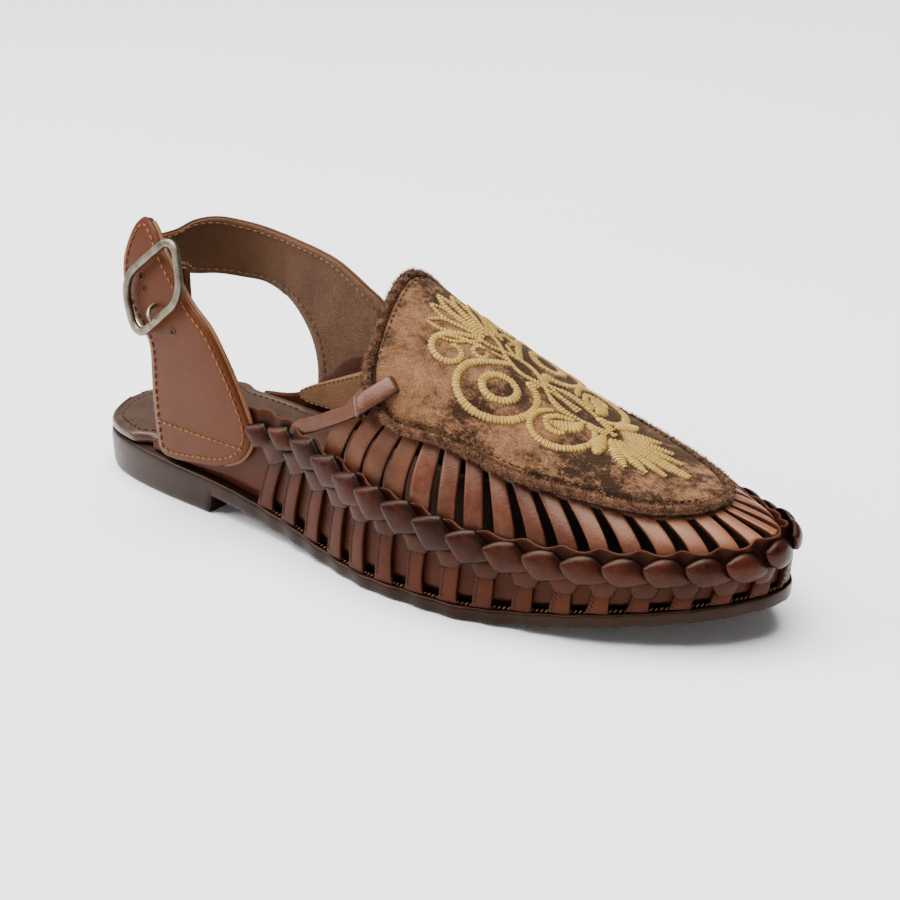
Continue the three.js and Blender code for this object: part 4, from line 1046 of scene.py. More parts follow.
def strip_edge(side, low, high, taut=0.0, count=44, hem_rows=5):
    """One cut edge of a vamp strip: up out of the band, over the foot and in under the velvet."""
    foot, head = edge_point(side * low, ROOM)[0], panel_at(side, np.clip(high, 0, 1))
    t = np.linspace(0, 1.1, count)
    share = np.where(t < 1, 1 - np.cos(np.minimum(t, 1) * np.pi / 2), t)[:, None]
    plan = foot + (head - foot) * share
    p, n = vamp_point(plan[:, 0], plan[:, 1])
    # towards the heel the strips are pulled straight, and lie lower than the rounded vamp
    w = np.clip(t, 0, 1)[:, None]
    chord = p[0] + (p[-5] - p[0]) * w + n * 2.2 * np.sin(np.pi * w) - n * 0.4
    p = p + (chord - p) * taut
    hem = np.repeat(p[:1], hem_rows, 0)
    hem[:, 2] -= np.linspace(6, 1.0, hem_rows)
    side_out = np.tile(unit(n[0] * (1, 1, 0.15)), (hem_rows, 1))
    return np.concatenate([hem, p]), np.concatenate([side_out, n])


slashed, slashed_rear = Shape(), Shape()
for k in range(0, VAMP_STRIPS + 1):
    back = np.clip((k - 8.5) / 4, 0, 1)
    taut = 0.72 * np.clip((k - 10.5) / 4, 0, 1)
    low_half = (0.60 + 0.16 * back) / 2
    high_half = (0.72 + 0.16 * back) / 2
    for side in (-1, 1) if k else (-1,):
        # the first strip lies across the toe, so its second edge is on the other side
        other = side if k else 1
        a, na = strip_edge(side, abs(k - low_half) * VAMP_PITCH, fan_share(abs(k - high_half)), taut)
        b, nb = strip_edge(other, (k + low_half) * VAMP_PITCH, fan_share(k + high_half), taut)
        n = unit(na + nb)
        t = np.linspace(0, 1, len(a))
        tilt = rng.uniform(-0.35, 0.35) * np.sin(t * np.pi)
        puff = rng.uniform(0.1, 0.7) * np.sin(np.clip(t * 1.15, 0, 1) * np.pi)
        a, b = a + n * (puff - tilt)[:, None], b + n * (puff + tilt)[:, None]
        strap(slashed_rear if k >= REAR_FROM else slashed, a, b, n, 1.5, crown=0.3, power=7,
              tone=rng.uniform(-0.3, 0.3) + 1.5 * np.clip((6 - k) / 4, 0, 1))
slashed.object("vamp_strips", vamp_leather, "vamp_leather", "vamp")
slashed_rear.object("vamp_rear_strips", vamp_rear_leather, "vamp_leather", "vamp")

# %% [markdown]
# ## Velvet panel
# A panel of crushed velvet covers the top of the foot. A cloth simulation could drape it, but here it
# is stretched and glued, so it is a net over the vamp's formula, swollen by its padding and bent back
# at the throat. The crushing is left to the material: pale where the nap catches light, dark in it.

# %% Velvet panel
def panel_point(side, share, inset, lift):
    """Points in from the panel's edge by an inset on the vamp's surface, and lifted off it."""
    at = panel_at(side, share)
    step = panel_at(side, np.clip(share + 0.004, 0, 1)) - panel_at(side, np.clip(share - 0.004, 0, 1))
    step = unit(step)
    base, n = vamp_point(at[..., 0], at[..., 1])
    ahead, _ = vamp_point(at[..., 0] + step[..., 0], at[..., 1] + step[..., 1])
    moved = base + np.cross(n, unit(ahead - base)) * side * inset
    p, n = vamp_point(moved[..., 0], moved[..., 1], lift)
    return p, n, moved[..., :2]


THROAT_X = 125.5


def throat_x(y, corner):
    """Where the velvet's rear edge runs: a rounded V between its two corners."""
    across = np.minimum(np.abs(y / corner[1]), 1)
    return THROAT_X + (corner[0] - THROAT_X) * (np.sqrt(across ** 2 + 0.03) - 0.173) / 0.842


def bend_to_throat(plan, share, begin, columns, past):
    """The last rows bend back towards the curved throat, most of all in the middle."""
    late = (np.clip((share - begin) / (share[-1] - begin), 0, 1) ** 1.6)[:, None]
    goal = throat_x(plan[..., 1], corner) + past
    plan[..., 0] += late * (goal - plan[-1:, :, 0]) * (1 - np.abs(columns[None]) ** 8)


corner = panel_point(-1, 1.0, 0.0, 0.0)[2]
rows, inset = 190, 2.9
share = 0.012 + (0.962 - 0.012) * np.linspace(0, 1, rows) ** 1.2
near, far = panel_point(-1, share, inset, 0)[2], panel_point(1, share, inset, 0)[2]
u = np.linspace(-1, 1, 121)
plan = near[:, None] + (far - near)[:, None] * ((u + 1) / 2)[None, :, None]
bend_to_throat(plan, share, 0.70, u, inset * 1.15)
last_rows = np.clip((np.arange(rows) - rows + 4) / 4, 0, 1)[:, None]
swell = (1 - np.abs(u) ** 14)[None] * (1 - last_rows ** 2 * 0.6)
top, _ = vamp_point(plan[..., 0], plan[..., 1], 0.9 + 2.1 * swell)
under, _ = vamp_point(plan[:, ::10, 0], plan[:, ::10, 1], 0.75)
velvet_net = np.concatenate([top, under[:, ::-1]], 1)
panel = Shape()
panel.grid(velvet_net, wrap=True, ends=True)
print("velvet net:", rows, "rows of", len(u), "points on its face")

# %% [markdown]
# ## Crushed velvet
# Velvet looks pale along one lie of its nap and nearly black along the other. Noise at two sizes gives
# the crushed patches, a stretched one gives the nap, and near the throat on the outer side the velvet
# is less crushed and shows faint ribs, as in the photo.

# %% Crushed velvet
g = Graph("crushed velvet", Sheen_Weight=0.12, Sheen_Roughness=0.5, Sheen_Tint=(0.9, 0.6, 0.35, 1.0),
          Specular_IOR_Level=0.1)
patch = g.noise(150, 7, 0.72)
broad = g.noise(34, 3, 0.5)
nap = g.noise(750, 3, 0.6, (1.0, 3.0, 1.6))
where_x = g.node("ShaderNodeSeparateXYZ", {}, {0: g.place}, 0)
where_y = g.node("ShaderNodeSeparateXYZ", {}, {0: g.place}, 1)
calm = (0.045 - where_x - (where_y + 0.012) * 1.4).above(0.02, 0.06)
# Painted shade: the far, inner side of the velvet is darker.
far_side_shade = (where_y + 0.004).above(0.0, 0.012)
crushed = patch * 1.1 + (broad - 0.5) * 1.0 + calm * 0.2 + (nap - 0.5) * 0.30 - far_side_shade * 0.16 - 0.07
color = g.mix((0.019, 0.0068, 0.0031), (0.170, 0.076, 0.035), crushed.above(0.38, 0.59))
# Painted highlight: a paler third colour over the lightest patches.
painted_highlight = patch + (nap - 0.5) * 0.6 + (broad - 0.5) * 0.3
color = g.mix(color, (0.33, 0.172, 0.084), painted_highlight.above(0.50, 0.76) * 0.75)
ribs = (where_x * 5200.0 + where_y * 1500.0 + nap * 5.0).sin()
color = g.mix(color, (0.045, 0.018, 0.008), (ribs * 0.5 + (nap - 0.5) * 2.0).clamp() * calm * 0.35)
velvet = g.finish(color, 0.85 + nap * 0.1, patch * 2.2 + nap * 1.2 + ribs * 0.05, 0.0010, 0.8)
panel.object("velvet_panel", velvet, "velvet", "vamp_panel")

# %% [markdown]
# ## Leather ground
# The velvet lies on a ground of leather, which shows at the throat from the heel side. It could be
# left out of this view, but the shoe is also looked at from behind. It is a thin net like the velvet.

# %% Ground of leather under the velvet
ground_leather = leather("ground leather", (0.060, 0.026, 0.014), (0.030, 0.012, 0.007), (0.10, 0.05, 0.03),
                         rough=0.6, grain=1100)
share = np.linspace(0.005, 1.0, 90)
near, far = panel_at(-1, share), panel_at(1, share)
w = np.linspace(0, 1, 41)
plan = near[:, None] + (far - near)[:, None] * w[None, :, None]
bend_to_throat(plan, share, 0.7, 2 * w - 1, 0.6)
top, _ = vamp_point(plan[..., 0], plan[..., 1], 0.1)
under, _ = vamp_point(plan[..., 0], plan[..., 1], -1.5)
ground = Shape()
ground.grid(np.concatenate([top, under[:, ::-1]], 1), wrap=True, ends=True)
ground.object("vamp_ground", ground_leather, "vamp_leather", "vamp")

# %% [markdown]
# ## Rolled edge
# The velvet's edge is turned round a cord and sewn down, so it looks like a soft rope. A curve with a
# round bevel would be too even. Rings are laid along the panel's outline instead, with two folds that
# wind round the cord and a small random roughness.

# %% Rolled edge
ROLL_RADIUS, ROLL_INSET, ROLL_LIFT, FOLD_TURN, ROLL_AROUND = 1.28, 1.4, 2.0, 4.6, 16
edge_shares = np.linspace(0.012, 0.985, 60)
far_corner_y = panel_point(1, 1.0, 0, 0)[2][1]
route = [panel_point(-1, share, ROLL_INSET, ROLL_LIFT)[0] for share in edge_shares]
for w in np.linspace(0.05, 0.95, 19):
    y = corner[1] + (far_corner_y - corner[1]) * w
    route.append(vamp_point(throat_x(y, corner) + ROLL_INSET, y, ROLL_LIFT)[0])
route += [panel_point(1, share, ROLL_INSET, ROLL_LIFT)[0] for share in edge_shares[::-1]]
line = smooth_line(np.array(route), 1500, closed=True)
along = unit(np.roll(line, -1, 0) - np.roll(line, 1, 0))
up = unit(vamp_point(line[:, 0], line[:, 1], 0)[1])
length = runs(line)
turn = np.arange(ROLL_AROUND) * 2 * np.pi / ROLL_AROUND
twist = 2 * np.pi * length / FOLD_TURN
radius = (ROLL_RADIUS + 0.10 * np.cos(2 * turn[None] + twist[:, None])
          + 0.10 * rng.standard_normal((len(line), ROLL_AROUND)))
rolled_net = tube(line, unit(np.cross(along, up)), up, radius[..., None], turn)
roll = Shape()
roll.grid(np.concatenate([rolled_net, rolled_net[:1]]), wrap=True,
          along=np.concatenate([length, [0]])[:, None],
          across=np.cos(turn[None] + twist[:, None])[np.r_[0:len(line), 0]])
g = Graph("rolled velvet", Sheen_Weight=0.1, Sheen_Roughness=0.5, Specular_IOR_Level=0.1)
fuzz = g.noise(520, 4, 0.75)
fold = g.value("across")
spots = g.noise(120, 4, 0.6)
pale = (fuzz * 0.5 + spots * 0.6 + fold * 0.05).above(0.42, 0.66)
color = g.mix((0.022, 0.0082, 0.0040), (0.160, 0.073, 0.036), pale)
rolled = g.finish(color, 0.9, fuzz + fold * 0.15, 0.0010, 0.8)
roll.object("rolled_edge", rolled, "velvet_edge", "panel_roll")

# %% [markdown]
# ## Pile of the rolled edge
# Bent round a cord, the velvet's hairs stand apart and blur its outline. They are too fine for a bump
# map, which can't change an outline, so the pile tree grows them over the upper half of the roll.

# %% Pile along the rolled edge
g = Graph("pile", Specular_IOR_Level=0.15)
pile_tone = g.noise(260, 3, 0.7) + (g.value("tone") - 0.5) * 0.5
pile = g.finish(g.mix((0.022, 0.0085, 0.0042), (0.24, 0.115, 0.058), pile_tone.above(0.30, 0.72)), 0.8)
upper_half = Shape()
upper_half.grid(np.concatenate([rolled_net[:, 0:9], rolled_net[:1, 0:9]]))
grown("edge_pile", upper_half.mesh("pile ground"), PILE, "velvet_edge", Density=5.2e6, Hair=0.0011, Seed=4,
      Material=pile)

# %% [markdown]
# ## Seam inside the roll
# A line of small dark stitches sinks into the velvet just inside the roll. Three lines carry it, one
# down each side and one along the throat, each facing out of the vamp.

# %% Seam inside the roll
SEAM_LIFT = PANEL_LIFT + 0.05
inner_line = []
for side in (-1, 1):
    q, n, _ = panel_point(side, np.linspace(0.02, 0.955, 200), 4.1, SEAM_LIFT)
    inner_line.append((q, n))
y = np.linspace(inner_line[0][0][-1][1], inner_line[1][0][-1][1], 60)
inner_line.append(vamp_point(throat_x(y, corner) + 4.4, y, np.full(60, SEAM_LIFT)))
black_thread = thread("black thread", (0.012, 0.005, 0.003), (0.006, 0.003, 0.002))
sewn("velvet_seam", inner_line, black_thread, "velvet_edge", 2.2, 1.5, 0.22, -0.02)

# %% [markdown]
# ## Gold scrollwork
# The ornament is embroidered in satin stitch: thread laid side by side across each stroke, which
# stands up like a ribbon. A flat image would not catch the light as the thread does. So it is charted
# on the flat, x along the shoe and s the distance from its middle line over the velvet, and each
# stroke becomes a raised ribbon. The other half is its mirror image.

# %% From the chart to the velvet
CHART_STEP = 0.25
chart_x = np.linspace(125, 243, 119)
chart_y = np.linspace(-42, 42, 337)
X, Y = np.meshgrid(chart_x, chart_y, indexing="ij")
net, _ = vamp_point(X, Y, PANEL_LIFT)
over = np.cumsum(np.linalg.norm(np.diff(net, axis=1), axis=2), 1)
over = np.concatenate([np.zeros((len(chart_x), 1)), over], 1)
over -= over[:, len(chart_y) // 2:len(chart_y) // 2 + 1]
print(f"chart reaches {over.min():.1f} to {over.max():.1f} mm over the velvet")


def chart_to_velvet(x, s, lift):
    """Points of the chart laid on the velvet."""
    i = np.clip((x - chart_x[0]).astype(int), 0, len(chart_x) - 2)
    u = (x - chart_x[0]) - i
    low, high = np.full_like(x, -41.9), np.full_like(x, 41.9)
    for _ in range(26):
        y = (low + high) / 2
        j = np.clip(((y - chart_y[0]) / CHART_STEP).astype(int), 0, len(chart_y) - 2)
        w = (y - chart_y[j]) / CHART_STEP
        reached = ((over[i, j] * (1 - w) + over[i, j + 1] * w) * (1 - u)
                   + (over[i + 1, j] * (1 - w) + over[i + 1, j + 1] * w) * u)
        low, high = np.where(reached < s, y, low), np.where(reached < s, high, y)
    return vamp_point(x, (low + high) / 2, lift)


# %% [markdown]
# ## Satin-stitched strokes
# A stroke's thread lies in small steps, two rows high and two rows low, and no two are quite alike.
# That could be a bump map, but from close by the strokes' edges would be too smooth. The steps are
# therefore in the mesh, in the height and the width, and a tone goes with them: painted light on the
# raised rows, with a random part.

# %% Strokes, petals and spirals
gold = Shape()
ROW_LENGTH, DOME_POINTS = 0.26, 9


def stroke(points, wide, fine=None, height=0.75):
    """A satin-stitched stroke: its width may swell from fine at its ends to wide in its middle."""
    length = runs(np.asarray(points, float))[-1]
    count = max(int(length / ROW_LENGTH), 14)
    line = smooth_line(points, count)
    t = np.linspace(0, 1, count)
    fine = wide if fine is None else fine
    half = (fine + (wide - fine) * np.sin(np.pi * t) ** 0.8) / 2
    half *= np.sqrt(np.clip(np.minimum(t, 1 - t) * length / 0.5, 0.08, 1))
    step = np.arange(count) % 4 // 2 * 2 - 1
    jag = 1 + 0.05 * step + 0.09 * rng.standard_normal(count)
    along = unit(np.gradient(line, axis=0))
    normal = np.stack([-along[:, 1], along[:, 0]], 1)
    # Painted light: the raised rows get a lighter tone, plus a random part.
    tone = (0.5 + 0.34 * step + 0.16 * rng.standard_normal(count))[:, None]
    u = np.linspace(-1, 1, DOME_POINTS)
    dome = np.sqrt(np.maximum(1 - u ** 2, 0)) ** 0.8
    lift = PANEL_LIFT - 0.05 + (height * (1 + 0.09 * step))[:, None] * dome[None]
    flat = line[:, None] + normal[:, None] * (half * jag)[:, None, None] * u[None, :, None]
    root = flat[:, ::4]
    for mirror in (1, -1):
        p, _ = chart_to_velvet(flat[..., 0].ravel(), mirror * flat[..., 1].ravel(), lift.ravel())
        below, _ = chart_to_velvet(root[..., 0].ravel(), mirror * root[..., 1].ravel(), PANEL_LIFT - 0.6)
        p = np.concatenate([p.reshape(count, -1, 3), below.reshape(count, -1, 3)[:, ::-1]], 1)
        gold.grid(p, wrap=True, ends=True, along=runs(line)[:, None], tone=tone,
                  across=np.concatenate([u, u[::4][::-1]])[None])


def petal(root, tip, half, wide=1.2):
    """A hollow petal: a stroke out to its tip and back."""
    root, tip = np.array(root, float), np.array(tip, float)
    ahead = tip - root
    side = np.array([-ahead[1], ahead[0]]) / np.linalg.norm(ahead) * half
    stroke([root, root + ahead * 0.35 + side * 0.7, root + ahead * 0.72 + side, tip], wide, wide * 0.6)
    stroke([root, root + ahead * 0.35 - side * 0.7, root + ahead * 0.72 - side, tip], wide, wide * 0.6)


def ellipse(middle, long, short, turn, start, end, count=12, shrink=1.0):
    """Points on an arc of a turned ellipse, in degrees, which may wind inwards."""
    a = np.radians(np.linspace(start, end, count))
    fade = np.linspace(1, shrink, count)
    flat = np.stack([long * np.cos(a) * fade, short * np.sin(a) * fade], 1)
    c, s = np.cos(np.radians(turn)), np.sin(np.radians(turn))
    return np.array(middle) + flat @ np.array([[c, s], [-s, c]])


print("stroke rows are", ROW_LENGTH, "mm apart")

# %% [markdown]
# ## The ornament
# Petals fan out at the throat, a scrolling stem runs towards the toe with two large spirals, and a
# spray of leaves ends it. It is a general ornament of the same layout and scale, drawn as listed below.

# %% Strokes, from the throat to the toe
for tip, half in (((136.8, -0.1), 1.9), ((138.0, -5.6), 1.9), ((141.0, -11.8), 2.1)):
    petal((155.5, -1.0), tip, half, 1.75)
petal((156.5, -2.4), (147.2, -13.6), 1.5, 1.5)
rear_spiral = ellipse((152.4, -14.8), 6.6, 5.8, 40, 95, 440, 16, 0.36)
small_curl = ellipse((158.9, -7.4), 3.0, 2.6, 40, 60, 390, 10, 0.55)
great_ring = ellipse((169.8, -15.4), 12.4, 10.2, 40, 112, 392, 16)
inner_ring = ellipse((170.0, -13.8), 5.6, 4.8, 40, 30, 400, 16, 0.94)
front_ring = ellipse((191.0, -11.6), 10.0, 7.3, 40, 100, 392, 15)
STROKES = [  # points of the chart, width in the middle and at the ends, height
    ([(151, -3.0), (158, -2.3), (164, 1.3), (170, 2.9), (175.5, 0.9), (181, -3.0), (189, -4.2),
      (196.5, -2.2), (203, 0.8)], 1.5),
    ([(160, -4.2), (165, -2.1), (170.5, -3.0), (176, -1.7), (183, -0.4), (190, -0.9)], 1.2),
    ([(157.5, -4.9), *rear_spiral], 2.5, 1.9),
    (small_curl, 1.8, 1.4),
    ([(167, -1.8), *great_ring, (177.0, -2.8)], 2.9, 2.2),
    (inner_ring, 2.9, 2.5),
    ([*front_ring, (201, -2.0)], 2.7, 2.0),
    ([(191.5, -5.4), (187.0, -8.4), (185.6, -12.0), (188.2, -14.4), (191.6, -13.0), (190.6, -10.8)],
     2.5, 2.0),
    ([(186.8, -12.6), (190.0, -10.6), (193.2, -7.6), (193.6, -4.0)], 5.0, 1.2, 1.0),
    ([(180.5, -3.4), (185.5, -5.0), (190.5, -4.6)], 2.2, 1.0, 0.85),
    ([(200.6, -3.4), (201.6, -7.5), (203.4, -12.6)], 5.2, 1.4, 0.95),
    ([(202.5, -3.0), (207.0, -6.8), (212.6, -11.0)], 4.4, 1.2, 0.95),
    ([(203.5, -2.2), (210.5, -5.4), (218.4, -8.4)], 3.6, 1.2, 0.95),
    ([(204.5, -1.4), (213.5, -3.4), (223.4, -5.2)], 3.2, 1.1, 0.95),
    ([(205.5, -0.5), (216.0, -0.9), (228.4, -0.6)], 3.0, 1.0, 0.95)]
for drawn in STROKES:
    stroke(*drawn)
g = Graph("gold thread", Specular_IOR_Level=0.7, Specular_Tint=(1.0, 0.85, 0.55, 1.0))
strand = (g.value("along") * 12.0).sin()
tone = g.value("tone")
# Painted shade at each stroke's edges, where it dips into the velvet; the lighter colour is partly painted
# highlight.
edge = g.value("across").abs().above(0.72, 1.0)
color = g.mix((0.10, 0.044, 0.006), (0.54, 0.325, 0.062), (tone * 0.85 + strand * 0.12 + 0.22).clamp())
color = g.mix(color, (0.10, 0.048, 0.014), edge * 0.85)
gold_thread = g.finish(color, 0.40 + edge * 0.3, strand, 0.00025, 0.7)
gold.object("gold_scrollwork", gold_thread, "velvet")

# %% [markdown]
# ## Throat straps
# A narrow strap runs from the top of the side band up to the end of the panel on each side. It could
# be a bevelled curve, but that twists. Its middle line is a short list of places read from the photo,
# and the way it faces is given along it. The inner side's strap is its mirror image.

# %% Throat straps
THROAT = [(105.6, 34.6, 31.0), (110.7, 37.3, 40.7), (118.1, 38.2, 44.5), (125.2, 39.0, 48.3),
          (131.5, 39.4, 51.6), (136.0, 39.7, 54.2), (139.6, 39.9, 57.0)]
tan_leather = leather("throat strap leather", (0.060, 0.0160, 0.0070), (0.030, 0.008, 0.0042),
                      (0.105, 0.036, 0.018), rough=0.44, grain=1100, coat=0.1, edge=0.8)
FINE = 120


def mirrored_y(side, x, y):
    """The y of a place on the outer side, or of the same place on the wider or narrower inner side."""
    return side * y * float(room_width(side, x) / room_width(-1, x))


def on_side(path, side, facing):
    """A path of the outer side, or its mirror image on the inner side, with the way it faces."""
    line = smooth_line([(x, mirrored_y(side, x, y), z) for x, y, z in path], FINE)
    ahead = unit(np.gradient(line, axis=0))
    facing = np.array(facing) * (1, side, 1)
    at, fine = np.linspace(0, 1, len(facing)), np.linspace(0, 1, FINE)
    normal = unit(np.stack([np.interp(fine, at, facing[:, k]) for k in range(3)], 1))
    across = unit(np.cross(ahead, normal))
    return line, across, unit(np.cross(across, ahead))


for side, name, node in ((-1, "throat_strap_outer", "throat_strap_lateral"),
                         (1, "throat_strap_inner", "throat_strap_medial")):
    line, across, out = on_side(THROAT, side, [(0, 1, 0.15), (0, 1, 0.3), (0, 1, 0.6)])
    out = out * np.sign(np.sum(out * unit(np.array([0, side, 0.4])), 1))[:, None]
    tether = Shape()
    half = np.linspace(2.6, 2.25, FINE)[:, None]
    strap(tether, line - across * half, line + across * half, out, 1.6, crown=0.25, power=7, tone=0.15)
    tether.object(name, tan_leather, "strap_leather", node)

# %% [markdown]
# ## Folded loops
# At the slit beside the velvet the strap comes out, folds back on itself and dives in again. The fold
# is listed as places on the vamp with a height over it, because both its ends have to meet the leather.

# %% Folded loops at the slit
LOOP = [(139.9, 35.1, 3.3), (137.9, 36.1, 3.4), (137.6, 36.6, 4.6), (138.4, 36.2, 6.3), (140.3, 35.4, 6.8),
        (141.7, 34.5, 6.4), (143.7, 32.4, 5.3), (144.9, 30.6, 4.4), (145.4, 29.9, 3.0), (145.5, 29.8, 1.0)]
LOOP_FACING = [(0.2, -0.3, -1), (-0.9, 0.3, -0.4), (-0.5, 1, 0.3), (0.15, 0.9, 0.7), (0.3, 0.7, 0.75),
               (0.33, 0.6, 0.75), (0.35, 0.55, 0.75)]
fold_leather = leather("loop leather", (0.060, 0.0185, 0.0095), (0.026, 0.008, 0.005), (0.115, 0.042, 0.023),
                       rough=0.40, depth=0.00015, coat=0.15, edge=0.8)
for side, name in ((-1, "throat_loop_outer"), (1, "throat_loop_inner")):
    path = []
    for x, y, lift in LOOP:
        p = vamp_point(x, mirrored_y(side, x, y), lift)[0].ravel()
        path.append((p[0], side * p[1] * float(room_width(-1, p[0]) / room_width(side, p[0])), p[2]))
    line, across, out = on_side(path, side, LOOP_FACING)
    loop = Shape()
    u = np.linspace(0, 1, FINE)
    half = (3.3 - 0.3 * u)[:, None]
    # Painted shade: the loop's ends darken where the strap goes into the slit.
    ends_shade = 0.6 * np.clip((0.2 - u) * 6, 0, 1) + 0.7 * np.clip((u - 0.84) * 10, 0, 1)
    strap(loop, line - across * half, line + across * half, out, 1.3, crown=0.35, around=26,
          dark=ends_shade[:, None])
    loop.object(name, fold_leather, "strap_leather")

# %% [markdown]
# ## Buckle strap
# The buckle strap is cut from a flat pattern. It stands on the outer side, flat against the band, and
# leans in a little towards its tip. Bending a flat mesh by a modifier would shift its edges, which the
# photo fixes, so its two edge lines are listed and the face between them is worked out from a formula.

# %% Buckle strap
STRAP_X, STRAP_SPAN, STRAP_HEIGHT, STRAP_THICK = 49, 45, 96, 3.0
LEAN_FROM, LEAN_RADIUS = 55, 111
STRAP_OUT = BAND_INSET - CLEAR - STRAP_THICK
BUCKLE_ROWS = [  # rear edge x and z, front edge x and z, as shares of the span and the height
    (0.10, 0.168, 0.60, 0.204), (-0.02, 0.172, 0.78, 0.240), (-0.065, 0.195, 0.87, 0.275),
    (-0.08, 0.245, 0.935, 0.330), (-0.095, 0.375, 0.935, 0.385), (-0.09, 0.460, 0.87, 0.460),
    (-0.10, 0.585, 0.72, 0.590), (-0.25, 0.655, 0.56, 0.690), (-0.375, 0.740, 0.37, 0.755),
    (-0.425, 0.830, 0.18, 0.835), (-0.385, 0.915, 0.00, 0.915), (-0.33, 0.965, -0.09, 0.965),
    (-0.27, 0.990, -0.16, 0.988), (-0.23, 0.999, -0.20, 0.998)]
HOLES = ((43.3, 73.7), (41.3, 77.5), (57.9, 62.4))


def strap_point(x, z, lift):
    """A point on the buckle strap's outer face, lifted off it."""
    x, z, lift = np.broadcast_arrays(np.asarray(x, float), np.asarray(z, float), np.asarray(lift, float))
    past = np.maximum(z - LEAN_FROM, 0)
    y = -(half_width(-1, x / LENGTH) - STRAP_OUT) + past ** 2 / (2 * LEAN_RADIUS)
    step = 0.5
    y_x = -(half_width(-1, (x + step) / LENGTH) - half_width(-1, (x - step) / LENGTH)) / (2 * step)
    n = unit(np.stack([y_x, np.full_like(y_x, -1.0), past / LEAN_RADIUS], -1))
    return np.stack([x, y, z], -1) + n * lift[..., None], n


def strap_line(columns):
    flat = np.array(BUCKLE_ROWS)[:, columns] * (STRAP_SPAN, STRAP_HEIGHT) + (STRAP_X, 0)
    return smooth_line(flat, 150)


rear, front = strap_line([0, 1]), strap_line([2, 3])
buckle_leather = leather("buckle strap leather", (0.067, 0.0162, 0.0048), (0.052, 0.0122, 0.0038),
                         (0.094, 0.026, 0.0090), rough=0.48, grain=1200, edge=0.35, mottle=0.5, gloss=0.2)
u = np.linspace(-1, 1, 21)
plan = rear[:, None] + (front - rear)[:, None] * ((u + 1) / 2)[None, :, None]
outer, _ = strap_point(plan[..., 0], plan[..., 1], -0.45 * np.abs(u[None]) ** 10 - 0.02)
inner_drop = -STRAP_THICK + 0.3 * (np.abs(u[::4]) > 0.9)
inner, _ = strap_point(plan[:, ::4, 0], plan[:, ::4, 1], inner_drop[None])
rear_edge, front_edge = (strap_point(plan[:, k, 0], plan[:, k, 1], -1.45)[0] for k in (0, -1))
net = np.concatenate([outer, front_edge[:, None], inner[:, ::-1], rear_edge[:, None]], 1)
column = np.concatenate([u, [1.0], u[::4][::-1], [-1.0]])[None]
hole_shade = sum(np.exp(-((plan[..., 0] - a) ** 2 + (plan[..., 1] - b) ** 2) / 0.9) for a, b in HOLES)
dark = np.zeros(net.shape[:2])
dark[:, :len(u)] = np.clip(hole_shade, 0, 1)
rear_run = runs(strap_point(rear[:, 0], rear[:, 1], 0)[0])
buckle_strap = Shape()
buckle_strap.grid(net, wrap=True, ends=True, across=column, along=rear_run[:, None], tone=0.1, dark=dark)
buckle_strap.object("buckle_strap_body", buckle_leather, "strap_leather", "buckle_strap")

# %% [markdown]
# ## Punched holes
# A punch leaves a dark well with a pressed rim. Cutting through the strap by a boolean would break its
# smooth net, and only the mouth of each hole is seen, so a small dish of rings is laid over the place,
# with painted shade in its middle for the well.

# %% Punched holes
HOLE_RINGS = [  # radius, lift and painted shade, from the rim inwards
    (1.5, -0.05, 0.1), (1.35, 0.13, 0.1), (1.15, 0.20, 0.0), (0.95, 0.16, 0.5), (0.82, 0.05, 1),
    (0.55, 0.03, 1), (0.01, 0.02, 1)]
holes = Shape()
turn = np.arange(18) * 2 * np.pi / 18
for a, b in HOLES:
    rings = [strap_point(a + r * np.cos(turn), b + r * np.sin(turn), lift)[0] for r, lift, _ in HOLE_RINGS]
    holes.grid(np.stack(rings), wrap=True, dark=np.array([[shade] for _, _, shade in HOLE_RINGS]))
holes.object("punched_holes", buckle_leather, "strap_leather")

# %% [markdown]
# ## Cut edge of the buckle strap
# The strap is two layers, and the lighter lining shows as a raw line down both edges. A colour on the
# strap's own edge would stay flat, so a cord of the lining's colour is sunk into each edge.

# %% The light lining along the edges
edge_leather = leather("strap edge", (0.15, 0.062, 0.028), (0.065, 0.025, 0.013), (0.24, 0.115, 0.058),
                       rough=0.7, grain=1500)
lining_edge = Shape()
for line, side in ((rear, -1), (front, 1)):
    p, n = strap_point(line[:, 0], line[:, 1], -1.95)
    away = unit(np.cross(unit(np.gradient(p, axis=0)), n)) * side
    cord(lining_edge, (p + away * 0.12)[3:-3], 0.75, 10)
lining_edge.object("buckle_strap_edge", edge_leather, "strap_leather")

# %% [markdown]
# ## Orange stitching
# Waxed orange thread runs round the strap close to its edge and once across its foot. The strap's
# outline is moved in by a margin and smoothed, so that the seam turns its corners as a sewer would.

# %% Stitching of the buckle strap
def inset_outline(margin):
    """The strap's outline moved in by a margin, as one closed walk."""
    ring = np.concatenate([rear, front[::-1]])
    ring = smooth_line(ring[::3], 500, closed=True)
    along = unit(np.roll(ring, -2, 0) - np.roll(ring, 2, 0))
    moved = ring + np.stack([along[:, 1], -along[:, 0]], 1) * margin
    for _ in range(12):
        moved = (np.roll(moved, 1, 0) + 2 * moved + np.roll(moved, -1, 0)) / 4
    return np.concatenate([moved, moved[:1]])


def across_strap(height, low, high):
    at_rear, at_front = (line[np.argmin(np.abs(line[:, 1] - height))] for line in (rear, front))
    return at_rear + (at_front - at_rear) * np.linspace(low, high, 60)[:, None]


orange_thread = thread("orange thread", (0.30, 0.115, 0.030), (0.10, 0.033, 0.010))
lines = [strap_point(at[:, 0], at[:, 1], 0.0) for at in (inset_outline(2.3), across_strap(28.5, 0.07, 0.94))]
sewn("buckle_strap_stitching", lines, orange_thread, "strap_leather", 2.75, 2.3, 0.36, 0.12)

# %% [markdown]
# ## Back strap
# The back strap starts at the inner side, rounds the heel and comes forward to the buckle. It is two
# layers, brown outside and pale inside. It is charted flat, s round the heel and z up, and then wrapped:
# a bend modifier would do for the half circle, but not for the two straight ends.

